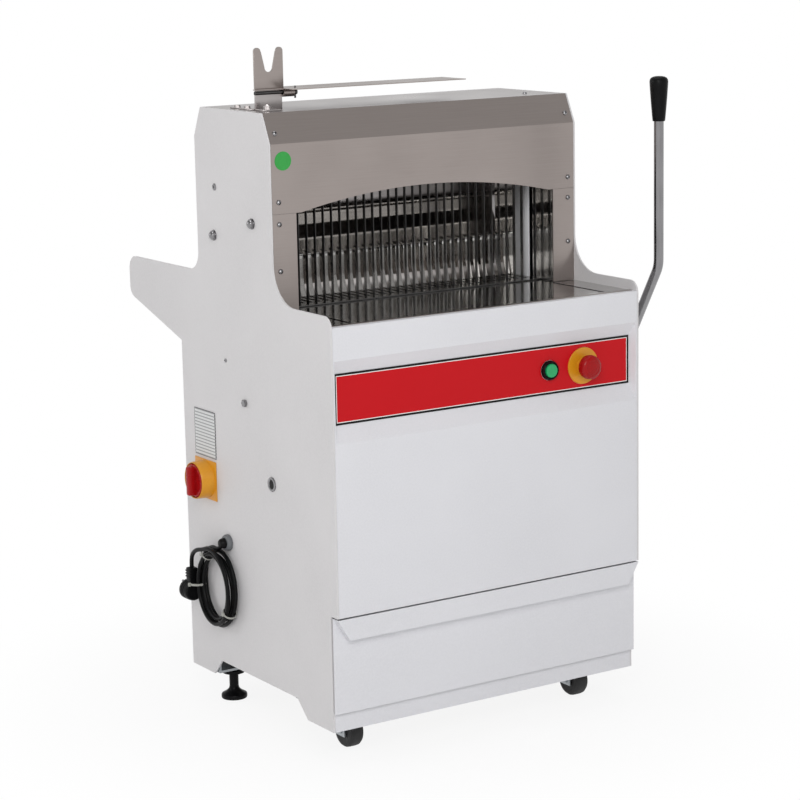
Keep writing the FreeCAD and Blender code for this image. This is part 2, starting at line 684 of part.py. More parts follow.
node("rear_flap", cut("flap_cut", fuse("flap", [flap_sheet_solid, flap_tube]), [
    round_bar("flap_bore", "x", "-half", "flap_y", "flap_z", "body_width", "flap_rod + fit")]))

# bed
bed_front = fuse("bed_front", [
    box("bed_wide", "-inner", "inner", "bed_start + gap", "opening_y - 3", "bed_top - skin", "bed_top"),
    box("bed_narrow", "-arch_half + gap", "arch_half - gap", "bed_start + gap",
        "blade_plane - slit_front", "bed_top - skin",
        "bed_top"),
    box("bed_hem", "-inner + 3", "inner - 3", "bed_start + gap", "bed_start + gap + skin",
        "bed_top - 14", "bed_top"),
])
slot_tool = box("slot_tool", "tab_x - tab_thick / 2 - 1.5", "tab_x + tab_thick / 2 + 1.5",
                "comb_front - stroke - 4", "comb_front + 70", "bed_top - 20", "bed_top + 5")
slot_pair = pair("slot_pair", slot_tool)
node("bed_plate", cut("bed_cut", bed_front, [slot_pair]))
table = fuse("table", [
    box("table_narrow", "-arch_half + gap", "arch_half - gap", "blade_plane + slit_rear",
        "wing_rear - table_inset",
        "bed_top - skin", "bed_top"),
    box("table_wide", "-inner", "inner", "wall_end + 6",
        "wing_rear - table_inset", "bed_top - skin", "bed_top"),
    box("table_apron", "-inner", "inner", "wing_rear - table_inset - skin", "wing_rear - table_inset",
        "wing_low - 1 + gap", "bed_top"),
])
node("outfeed_table", cut("table_cut", table, [slot_pair]))

# pusher comb
comb_points = [
    ("comb_front", "bed_top + gap"), ("comb_foot", "bed_top + gap"),
    ("comb_foot + finger_lean", "bed_top + gap + finger_step"),
    ("comb_foot + finger_lean", "bed_top + gap + finger_step * 2"),
    ("comb_foot + finger_lean + hook_long", "bed_top + gap + finger_step * 2 + 4"),
    ("comb_foot + finger_lean + hook_long", "bed_top + gap + finger_step * 2 + 6"),
    ("comb_foot + finger_lean - skin", "bed_top + gap + finger_step * 2 + skin"),
    ("comb_foot + finger_lean - skin", "bed_top + gap + finger_step"),
    ("comb_foot - skin * 0.8", "bed_top + gap + skin"), ("comb_front", "bed_top + gap + skin"),
]
comb_sheet = profile("comb_sheet", "yz", "-comb_half", "comb_half * 2", comb_points)
comb_slots = [box("comb_slot_%d" % number,
    "blade_pitch * %d - (blade_pitch - finger_wide) / 2" % (number - blades_aside),
                  "blade_pitch * %d + (blade_pitch - finger_wide) / 2" % (number - blades_aside),
                      "tongue_start",
                  "comb_foot + 60", "bed_top - 10",
                      "bed_top + 90") for number in range(2 * blades_aside + 1)]
tab = box("tab", "tab_x - tab_thick / 2", "tab_x + tab_thick / 2", "comb_front + 2", "comb_front + 24",
          "rod_z + 18", "bed_top + gap + 1")
node("pusher_comb", fuse("comb", [cut("comb_cut", comb_sheet, comb_slots), pair("tabs", tab)]))

# carriage and guide rods
housing = box("housing", "rod_x - 11", "rod_x + 11", "comb_front - 4", "comb_front + 56", "rod_z - 11",
    "rod_z + 18")
housing_bore = round_bar("housing_bore", "y", "rod_x", "comb_front - 20", "rod_z", "100",
    "rod_radius + fit")
housing_cut = cut("housing_cut", housing, [housing_bore])
crossbar = box("crossbar", "-rod_x", "rod_x", "comb_front - 4", "comb_front + 16", "rod_z + 20",
    "rod_z + 28")
riser = box("riser", "rod_x - 11", "rod_x + 11", "comb_front - 4", "comb_front + 16", "rod_z + 10",
    "rod_z + 28")
bracket = box("bracket", "arm_x - 14", "arm_x - 6", "roller_y - slot_front - 7",
    "roller_y + slot_rear + 8",
              "rod_z - 46", "rod_z + 28")
bracket_slot = box("bracket_slot", "arm_x - 20", "arm_x", "roller_y - slot_front",
    "roller_y + slot_rear",
                   "pivot_z + arm_long * cos(34) - roller_radius - 2",
                       "pivot_z + arm_long + roller_radius + 0.6")
tab_seat = box("tab_seat", "tab_x - tab_thick / 2 - gap / 3", "tab_x + tab_thick / 2 + gap / 3",
    "comb_front - 10",
               "comb_front + 30", "rod_z + 18", "rod_z + 40")
carriage_side = cut("carriage_side", fuse("carriage_parts", [housing_cut, riser, bracket]),
    [bracket_slot])
node("carriage", cut("carriage_cut", fuse("carriage_all", [crossbar, pair("carriage_sides",
    carriage_side)]),
                     [pair("tab_seats", tab_seat)]))
rod = round_bar("rod", "y", "rod_x", "rod_start", "rod_z", "rod_end - rod_start", "rod_radius")
front_block = box("front_block", "rod_x - 11", "rod_x + 11", "rod_start", "rod_start + 11",
    "rod_z - 12",
                  "bed_top - skin")
rear_block = box("rear_block", "rod_x - 11", "rod_x + 11", "rod_end - 12", "rod_end + 4", "rod_z - 12",
                 "bed_top - skin")
node("guide_rods", pair("rods", fuse("rod_set", [rod, front_block, rear_block])))

# crank lever
shaft = round_bar("shaft", "x", "-half + sheet + 8", "pivot_y", "pivot_z", "lever_x + half - sheet - 6",
                  "lever_shaft_radius")


def arm(name, sign):
    """Arm with its roller: the roller runs in the slot of the carriage."""
    bar = box(name + "_bar", "0", "arm_thick", "-11", "11", "0", "arm_long + 4")
    top = round_bar(name + "_top", "x", "0", "0", "arm_long", "arm_thick", "11")
    boss = round_bar(name + "_boss", "x", "-6", "0", "0", "arm_thick + 12", "22")
    start = "-arm_thick" if sign > 0 else "0"
    roller = round_bar(name + "_roller", "x", start, "0", "arm_long", "arm_thick * 2", "roller_radius")
    item = fuse(name, [bar, top, boss, roller])
    item.Placement = FreeCAD.Placement(vec(0, 0, 0), FreeCAD.Rotation(vec(-1, 0, 0), 15))
    bind(item, Placement__Rotation__Angle="arm_lean")
    bind(item, Placement__Base__x="%d * arm_x - arm_thick / 2" % sign, Placement__Base__y="pivot_y",
         Placement__Base__z="pivot_z")
    return item


node("lever_shaft", fuse("lever_inner", [shaft, arm("arm_right", 1), arm("arm_left", -1)]))
hub = cut("hub", round_bar("hub_disc", "x", "lever_x - 16", "pivot_y", "pivot_z", "28", "20"),
          [round_bar("hub_bore", "x", "lever_x - 20", "pivot_y", "pivot_z", "22",
              "lever_shaft_radius")])
lower_rod = round_bar("lower_rod", "z", "0", "0", "-26",
    "(bend_z - pivot_z) / cos(lever_lean) - bend_set + 26",
                      "lever_radius")
lower = fuse("lower", [lower_rod, round_bar("lower_collar", "z", "0", "0", "17", "12", "11")])
lower_turned = group("lower_turned", [lower])
lower_turned.Placement = FreeCAD.Placement(vec(0, 0, 0), FreeCAD.Rotation(vec(1, 0, 0), 30))
bind(lower_turned, Placement__Rotation__Angle="lever_lean", Placement__Base__x="lever_x",
     Placement__Base__y="pivot_y + lever_offset", Placement__Base__z="pivot_z")
bend = fresh("Part::Torus", "bend")
bind(bend, Radius1="bend_radius", Radius2="lever_radius", Angle3="lever_lean")
bend.Placement = FreeCAD.Placement(vec(0, 0, 0), FreeCAD.Rotation(vec(0, -1, 0), vec(0, 0, -1),
    vec(1, 0, 0), "ZXY"))
bind(bend, Placement__Base__x="lever_x", Placement__Base__y="upright_y + bend_radius",
     Placement__Base__z="bend_z + bend_set")
upper = round_bar("upper", "z", "lever_x", "upright_y", "bend_z + bend_set",
    "knob_low + 40 - bend_z - bend_set",
                  "lever_radius")
node("lever_rod", fuse("lever_bar", [cut("lower_trim", lower_turned, [
    round_bar("hub_space", "x", "lever_x - 30", "pivot_y", "pivot_z", "60", "19")]), hub, bend, upper]))
knob_cone = fuse("knob_solid", [
    round_bar("knob_cone", "z", "lever_x", "upright_y", "knob_low", "knob_long - 14", "knob_neck",
        "knob_radius"),
    round_bar("knob_end", "z", "lever_x", "upright_y", "knob_low + knob_long - 14", "14",
        "knob_radius"),
])
knob_round = fresh("Part::Fillet", "knob_round")
doc.recompute()
knob_round.Base = knob_cone
knob_round.Edges = [(index + 1, 9, 9) for index, edge in enumerate(knob_cone.Shape.Edges)
                    if edge.BoundBox.ZMin > knob_cone.Shape.BoundBox.ZMax - 0.5]
node("lever_knob", cut("knob_cut", knob_round, [round_bar("knob_bore", "z", "lever_x", "upright_y",
    "knob_low - 5",
                                                          "45", "lever_radius")]))

# blade frames


def blade_frame(side, sign, first, count):
    """Frame with its bars in front of or behind the blades, every second blade and its holders."""
    low_y = "blade_plane + %d * bar_off - bar_deep / 2" % sign
    high_y = "blade_plane + %d * bar_off + bar_deep / 2" % sign
    reach = ("blade_plane - bar_off + bar_deep / 2", "blade_plane + 3")
    if sign > 0:
        reach = ("blade_plane - 3", "blade_plane + bar_off - bar_deep / 2")
    post = box("post_" + side, "post_x", "post_x + post_wide", low_y, high_y, "post_low", "post_high")
    bars = [
        box("bar_top_" + side, "-post_x", "post_x", low_y, high_y, "blade_high - bar_high / 2",
            "blade_high + bar_high / 2"),
        box("bar_low_" + side, "-post_x", "post_x", low_y, high_y, "blade_low - bar_high / 2",
            "blade_low + bar_high / 2"),
    ]
    edge = "%d * (eccentric_x - 19)" % sign
    arm_low, arm_high = (low_y, "blade_plane + 11") if sign < 0 else ("blade_plane - 11", high_y)
    lug = [
        box("lug_" + side, edge + " - 3", edge + " + 3", low_y, high_y, "rod_top - 12",
            "blade_low - bar_high / 2"),
        box("lug_eye_" + side, edge + " - 3", edge + " + 3", arm_low, arm_high, "rod_top - 12",
            "rod_top + 12"),
        round_bar("lug_pin_" + side, "x", edge + (" - 10.5" if sign < 0 else ""), "blade_plane",
            "rod_top", "10.5",
                  "pin_radius"),
    ]
    blades = []
    holders = []
    for number in range(count):
        x = "blade_pitch * %d" % (first + 2 * number)
        blades.append(box("blade_%s_%d" % (side, number), x + " - blade_thick / 2",
            x + " + blade_thick / 2",
                          "blade_plane - blade_deep / 2", "blade_plane + blade_deep / 2", "blade_low",
                              "blade_high"))
        for end, shift in (("blade_low", "-8"), ("blade_high", "-12")):
            holders.append(box("holder_%s_%s_%d" % (side, end, number), x + " + blade_thick / 2",
                               x + " + blade_thick / 2 + 2", reach[0], reach[1], "%s + %s" % (end,
                                   shift),
                               "%s + %s + 20" % (end, shift)))
    node("blade_frame_" + side, fuse("frame_" + side,
        [pair("posts_" + side, post)] + bars + lug + holders))
    node("blades_" + side, group("blade_set_" + side, blades))


blade_frame("a", -1, -blades_aside, blades_aside + 1)
blade_frame("b", 1, 1 - blades_aside, blades_aside)


def guide(name, low):
    """Block with a slot for the post of each frame."""
    block = box(name, "post_x - 4", "inner", "blade_plane - bar_off - bar_deep / 2 - 6",
                "blade_plane + bar_off + bar_deep / 2 + 6", low, low + " + guide_high")
    holes = []
    for number, sign in enumerate((-1, 1)):
        middle = "blade_plane + %d * bar_off" % sign
        holes.append(box("%s_hole_%d" % (name, number), "post_x - gap", "post_x + post_wide + gap",
                         middle + " - bar_deep / 2 - gap", middle + " + bar_deep / 2 + gap",
                             low + " - 5",
                         low + " + guide_high + 5"))
    return pair(name + "_pair", cut(name + "_cut", block, holes))


node("frame_guides", group("guides", [guide("guide_top", "guide_upper"), guide("guide_base",
    "guide_lower")]))

# crankshaft, connecting rods and belt drive


def connecting_rod(side, sign):
    """Ring round the eccentric, shank and small end; the ring's centre is the crank pin."""
    y = "blade_plane - %d * throw" % sign
    middle = "%d * eccentric_x" % sign
    solid = fuse("rod_solid_" + side, [
        round_bar("rod_ring_" + side, "x", middle + " - eccentric_wide / 2 + 1", y, "crank_height",
                  "eccentric_wide - 2", "ring_radius"),
        box("rod_shank_" + side, middle + " - 6", middle + " + 6", y + " - 9", y + " + 9",
            "crank_height + 30",
            "rod_top"),
        round_bar("rod_eye_" + side, "x", middle + " - 8", y, "rod_top", "16", "12"),
    ])
    node("connecting_rod_" + side, cut("rod_cut_" + side, solid, [
        round_bar("rod_bore_" + side, "x", middle + " - 20", y, "crank_height", "40",
            "eccentric_radius + fit"),
        round_bar("rod_eye_bore_" + side, "x", middle + " - 20", y, "rod_top", "40",
            "pin_radius + gap"),
    ]))
    return round_bar("eccentric_" + side, "x", middle + " - eccentric_wide / 2", y, "crank_height",
                     "eccentric_wide", "eccentric_radius")


eccentrics = [connecting_rod("a", -1), connecting_rod("b", 1)]
crank_bar = round_bar("crank_bar", "x", "-bearing_x - 18", "blade_plane", "crank_height",
    "bearing_x * 2 + 36",
                      "shaft_radius")
node("crankshaft", fuse("crank_parts", [crank_bar] + eccentrics))


def pulley(name, y, radius):
    return fuse(name, [
        round_bar(name + "_drum", "x", "pulley_x", y, "crank_height", "pulley_wide", radius),
        round_bar(name + "_flange", "x", "pulley_x", y, "crank_height", "2", radius + " + 4"),
        round_bar(name + "_rim", "x", "pulley_x + pulley_wide - 2", y, "crank_height", "2",
            radius + " + 4"),
    ])


node("crank_pulley", cut("crank_pulley_cut", pulley("big_pulley", "blade_plane", "crank_pulley_radius"),
    [
    round_bar("crank_pulley_bore", "x", "pulley_x - 5", "blade_plane", "crank_height",
        "pulley_wide + 10",
              "shaft_radius")]))
motor_drum = pulley("small_pulley", "motor_y", "motor_pulley_radius")
motor_shaft = round_bar("motor_shaft", "x", "20", "motor_y", "crank_height",
    "pulley_x + pulley_wide - 14",
                        "motor_shaft_radius")
node("motor_pulley", fuse("motor_moving", [motor_drum, motor_shaft]))
motor_solid = fuse("motor_solid", [
    round_bar("motor_can", "x", "50 - motor_long", "motor_y", "crank_height", "motor_long",
        "motor_radius"),
    round_bar("motor_nose", "x", "50", "motor_y", "crank_height", "10", "30"),
    box("motor_foot", "-100", "30", "motor_y - 45", "motor_y + 45", "deck_top", "crank_height - 20"),
    box("motor_terminal", "-70", "-10", "motor_y - 28", "motor_y + 28", "crank_height + 40",
        "crank_height + motor_radius + 18"),
])
node("motor", cut("motor_cut", motor_solid, [round_bar("motor_bore", "x", "19", "motor_y",
    "crank_height", "60",
                                                       "motor_shaft_radius + fit")]))
place("belt_slope", "asin((crank_pulley_radius - motor_pulley_radius) / (motor_y - blade_plane))")


def belt_hull(name, grow, start, wide):
    """Solid inside a belt that lies on both pulleys at the given distance."""
    big = "(crank_pulley_radius + %s)" % grow
    small = "(motor_pulley_radius + %s)" % grow
    web = profile(name + "_web", "yz", start, wide, [
        ("blade_plane + %s * sin(belt_slope)" % big, "crank_height + %s * cos(belt_slope)" % big),
        ("motor_y + %s * sin(belt_slope)" % small, "crank_height + %s * cos(belt_slope)" % small),
        ("motor_y + %s * sin(belt_slope)" % small, "crank_height - %s * cos(belt_slope)" % small),
        ("blade_plane + %s * sin(belt_slope)" % big, "crank_height - %s * cos(belt_slope)" % big),
    ])
    return fuse(name, [web, round_bar(name + "_big", "x", start, "blade_plane", "crank_height", wide,
        big),
                       round_bar(name + "_small", "x", start, "motor_y", "crank_height", wide, small)])


belt_out = belt_hull("belt_out", "(gap + belt_thick)", "pulley_x + 2.5", "pulley_wide - 5")
belt_in = belt_hull("belt_in", "gap", "pulley_x - 10", "pulley_wide + 20")
node("drive_belt", cut("belt_cut", belt_out, [belt_in]))

crank_block = cut("crank_block", box("crank_block_box", "bearing_x - bearing_wide / 2",
    "bearing_x + bearing_wide / 2",
                                     "blade_plane - 30", "blade_plane + 30", "deck_top",
                                         "crank_height + 28"),
                  [round_bar("crank_block_bore", "x", "bearing_x - 40", "blade_plane", "crank_height",
                      "80",
                             "shaft_radius + fit")])
lever_block = cut("lever_block", box("lever_block_box", "inner - 28", "inner", "pivot_y - 26",
    "pivot_y + 26",
                                     "pivot_z - 26", "pivot_z + 26"),
                  [round_bar("lever_block_bore", "x", "inner - 60", "pivot_y", "pivot_z", "120",
                             "lever_shaft_radius + fit")])
node("bearing_blocks", group("blocks", [pair("crank_blocks", crank_block), pair("lever_blocks",
    lever_block)]))

# fork, bracket and bagging tray on the roof
hinge_z = "tray_z - 5"
bracket_plate = fuse("bracket_parts", [
    box("bracket_plate", "fork_x - fork_wide / 2", "fork_x + fork_wide / 2", "fork_y - 1.5",
        "fork_y + 1.5", "roof",
        "tray_z - 0.3"),
    box("bracket_foot", "fork_x - fork_wide / 2", "fork_x + fork_wide / 2", "fork_y - 33",
        "fork_y + 1.5", "roof",
        "roof + 3"),
    round_bar("bracket_bolt", "z", "fork_x - 9", "fork_y - 22", "roof + 3", "6", "6.5"),
    round_bar("bracket_pin", "x", "fork_x - fork_wide / 2", "fork_y", hinge_z, "fork_wide + 34", "4"),
    round_bar("wing_hub", "x", "fork_x + fork_wide / 2 + 23", "fork_y", hinge_z, "10", "5.2"),
])
node("fork_bracket", bracket_plate)
node("fork_plate", profile("fork_sheet", "xz", "fork_y - 1.5", "3", [
    ("fork_x - fork_wide / 2", "fork_low"), ("fork_x + fork_wide / 2", "fork_low"),
    ("fork_x + fork_wide / 2 - 1.2", "fork_high - 4", "4"), ("fork_x + fork_notch / 2", "fork_high - 4",
        "4"),
    ("fork_x + 6.5", "notch_bottom", "5.5"), ("fork_x - 6.5", "notch_bottom", "5.5"),
    ("fork_x - fork_notch / 2", "fork_high", "4"), ("fork_x - fork_wide / 2 + 1.2", "fork_high", "4"),
]))
tray_flat = box("tray_flat", "fork_x + fork_wide / 2 - 1", "tray_end", "tray_front", "tray_rear",
    "tray_z + 0.5",
                "fork_low")
tray_tongue = box("tray_tongue", "fork_x - fork_wide / 2", "fork_x + fork_wide / 2", "fork_y - 5",
    "fork_y + 5",
                  "tray_z + 0.5", "fork_low")
knuckle = round_bar("knuckle", "x", "fork_x + fork_wide / 2 + 1", "fork_y", hinge_z, "20", "7")
knuckle_bore = round_bar("knuckle_bore", "x", "fork_x + fork_wide / 2 - 5", "fork_y", hinge_z, "40",
    "4 + fit")
node("bagging_tray", cut("tray_cut", fuse("tray", [tray_flat, tray_tongue, knuckle]), [knuckle_bore]))

# left panel: switch, plates, cord and screws
node("rating_plate", box("rating", "-half - 1", "-half", "380", "452", "437", "517"))
switch_body = fuse("switch_body", [
    box("switch_face", "-half - 2", "-half", "switch_y - 36.5", "switch_y + 36.5", "switch_z - 34",
        "switch_z + 34"),
    box("switch_box", "-half + sheet + gap", "-half + 60", "switch_y - 30", "switch_y + 30",
        "switch_z - 30",
        "switch_z + 30"),
    round_bar("switch_neck", "x", "-half - 1", "switch_y", "switch_z", "10", "12"),
    round_bar("switch_collar", "x", "-half - collar_out", "switch_y", "switch_z", "collar_out",
        "collar_radius - 2",
              "collar_radius"),
])
node("switch_plate", switch_body)
node("switch_knob", fuse("switch_moving", [
    round_bar("knob_disc", "x", "-half - collar_out - 9", "switch_y", "switch_z", "9 - gap",
        "handle_radius"),
    box("knob_grip", "-half - knob_out", "-half - collar_out - 8", "switch_y - 6", "switch_y + 6",
        "switch_z - handle_radius + 3", "switch_z + handle_radius - 3"),
]))
node("round_sticker", round_bar("sticker", "y", "-275", "opening_y - 0.4", "952", "0.4", "15"))
screws = []
for name, y, z, radius, reach in (("ring_cover", "193.7", "428.8", "9", "2"), ("side_bolt", "274",
    "550.7", "6.5", "5"),
                                  ("small_screw", "336", "613", "3.5", "2"), ("flat_head", "355",
                                      "898.7", "6", "1.5"),
                                  ("acorn_front", "234", "848.9", "8", "9"), ("acorn_rear", "362",
                                      "818.7", "8", "9")):
    screws.append(round_bar(name, "x", "-half - (%s)" % reach, y, z, reach, radius))
    screws.append(round_bar(name + "_other", "x", "half", y, z, reach, radius))
for number, z in enumerate(("887", "852", "777")):
    screws.append(pair("flange_screw_%d" % number, round_bar("flange_head_%d" % number, "y",
        "half - 15.5",
                                                             "opening_y - 2.2", z, "2.2", "4")))
facet_screw = fresh("Part::Cylinder", "facet_screw")
facet_screw.Placement = FreeCAD.Placement(vec(0, 0, 0), FreeCAD.Rotation(vec(1, 0, 0), 65))
bind(facet_screw, Radius="4", Height="2.2",
    Placement__Rotation__Angle="atan(roof_bevel / (roof_front - opening_y))",
     Placement__Base__x="half - 15.5", Placement__Base__y="opening_y + (roof_front - opening_y) / 3",
     Placement__Base__z="roof - roof_bevel * 2 / 3")
screws.append(pair("facet_screws", facet_screw))
screws.append(round_bar("roof_screw", "z", "245", "241", "roof", "2", "4"))
node("panel_screws", group("screws", screws))

ring_x = "-half - 4 - bundle"
gland_nut = fuse("gland_nut", [
    round_bar("gland_disc", "x", "-half - 9", "gland_y", "gland_z", "9", "gland_radius - 1.5",
        "gland_radius"),
    round_bar("gland_thread", "x", "-half + sheet + gap", "gland_y", "gland_z", "14", "11"),
])
bush = round_bar("bush", "x", "-half - 19", "gland_y", "gland_z", "10", "7.5", "9")
gland = fuse("gland", [gland_nut, bush])
node("cable_gland", gland)
ring = fresh("Part::Torus", "coil_ring")
bind(ring, Radius1="coil_radius", Radius2="bundle")
ring.Placement = FreeCAD.Placement(vec(0, 0, 0), turns["x"])
bind(ring, Placement__Base__x=ring_x, Placement__Base__y="coil_y", Placement__Base__z="coil_z")
node("cord_coil", ring)
drop = round_bar("cord_drop", "z", ring_x, "gland_y", "gland_z - 20", "14", "cord_radius")
plug_x = "-half - bundle - 12"
plug_y = "coil_y + coil_radius + bundle + 1.5"
tail = round_bar("cord_tail", "z", plug_x, plug_y + " + 8", "plug_z + 39", "38", "cord_radius")
tail.Placement = FreeCAD.Placement(tail.Placement.Base, FreeCAD.Rotation(vec(0, 0, 1), vec(0.1, -0.8,
    0.6)))
plug = fuse("plug", [
    box("plug_relief", plug_x + " - 8", plug_x + " + 8", plug_y, plug_y + " + 16", "plug_z + 10",
        "plug_z + 41"),
    round_bar("plug_body", "y", plug_x, plug_y, "plug_z", "26", "plug_radius"),
    round_bar("plug_pin_low", "y", plug_x, plug_y + " + 25", "plug_z - 9.5", "19", "2.4"),
    round_bar("plug_pin_high", "y", plug_x, plug_y + " + 25", "plug_z + 9.5", "19", "2.4"),
])
node("mains_plug", plug)
tie = []
for number, angle in enumerate(("355", "60", "215")):
    band = round_bar("tie_%d" % number, "z", "0", "coil_radius", "-4", "8", "bundle + 1")
    turned = group("tie_turned_%d" % number, [band])
    turned.Placement = FreeCAD.Placement(vec(0, 0, 0), FreeCAD.Rotation(vec(1, 0, 0), float(angle)))
    bind(turned, Placement__Base__x=ring_x, Placement__Base__y="coil_y", Placement__Base__z="coil_z")
    tie.append(cut("tie_cut_%d" % number, turned, [ring]))
node("cord_ties", group("ties", tie))
node("mains_cord", cut("cord_cut", group("cord_runs", [drop, tail]), [ring, plug, gland]))

# check and export
doc.recompute()
faults = [item.Name for item in doc.Objects if any(s in ("Invalid", "Error") for s in item.State)]
if faults:
    raise SystemExit("not recomputed: " + ", ".join(faults))
total = Part.makeCompound([item.Shape for item in made.values()]).BoundBox
for label, item in made.items():
    shape = item.Shape
    if shape.isNull() or not shape.isValid() or shape.Volume <= 0:
        raise SystemExit("bad solid: " + label)
    shape.exportStep("parts/%s.step" % label)
print("%d pieces, %.1f x %.1f x %.1f mm" % (len(made), total.XLength, total.YLength, total.ZLength))
print("box", total)
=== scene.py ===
import bpy
import math
from mathutils import Matrix, Vector


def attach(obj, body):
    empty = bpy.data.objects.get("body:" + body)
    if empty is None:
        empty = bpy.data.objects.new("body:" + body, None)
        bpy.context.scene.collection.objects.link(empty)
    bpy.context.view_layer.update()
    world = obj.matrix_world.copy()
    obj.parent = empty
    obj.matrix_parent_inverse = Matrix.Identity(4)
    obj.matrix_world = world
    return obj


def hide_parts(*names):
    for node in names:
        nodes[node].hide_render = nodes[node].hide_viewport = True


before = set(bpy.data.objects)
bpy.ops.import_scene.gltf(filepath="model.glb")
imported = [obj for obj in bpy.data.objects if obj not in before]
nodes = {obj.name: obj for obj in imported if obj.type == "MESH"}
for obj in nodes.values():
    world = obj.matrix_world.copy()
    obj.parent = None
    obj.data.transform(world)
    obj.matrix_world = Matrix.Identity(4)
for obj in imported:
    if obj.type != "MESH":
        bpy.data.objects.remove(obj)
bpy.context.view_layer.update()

# machine coordinates in mm: x from the middle, y from the front cover, z from the floor
origin = {"x": -13.75, "y": -330.2}


def at(x, y, z):
    return Vector(((x + origin["x"]) / 1000, (y + origin["y"]) / 1000, z / 1000))


# camera
cameraSet = {"place": (-2191.4, -3129.0, 1310.8), "yaw": 32.79, "pitch": 11.07, "roll": -1.13, "lens": 108.86}
yaw, pitch, roll = (math.radians(cameraSet[k]) for k in ("yaw", "pitch", "roll"))
ahead = Vector((math.sin(yaw) * math.cos(pitch), math.cos(yaw) * math.cos(pitch), -math.sin(pitch)))
across = Vector((math.cos(yaw), -math.sin(yaw), 0))
upward = across.cross(ahead)
rightSide = across * math.cos(roll) + upward * math.sin(roll)
topSide = upward * math.cos(roll) - across * math.sin(roll)
camData = bpy.data.cameras.new("camera")
camData.lens = cameraSet["lens"]
camData.sensor_width = 36
camData.clip_end = 60
camera = bpy.data.objects.new("camera", camData)
turn = Matrix((rightSide, topSide, -ahead)).transposed().to_4x4()
camera.matrix_world = Matrix.Translation(at(*cameraSet["place"])) @ turn
bpy.context.scene.collection.objects.link(camera)
bpy.context.scene.camera = camera
print("camera set")


def linear(hexText):
    parts = [int(hexText[i:i + 2], 16) / 255 for i in (0, 2, 4)]
    return tuple(c / 12.92 if c <= 0.04045 else ((c + 0.055) / 1.055) ** 2.4 for c in parts) + (1.0,)


def addNode(tree, kind, settings=None, links=None):
    item = tree.nodes.new(kind)
    for key, value in (settings or {}).items():
        if isinstance(key, str) and hasattr(item, key):
            setattr(item, key, value)
        else:
            item.inputs[key].default_value = value
    for key, source in (links or {}).items():
        tree.links.new(source, item.inputs[key])
    return item


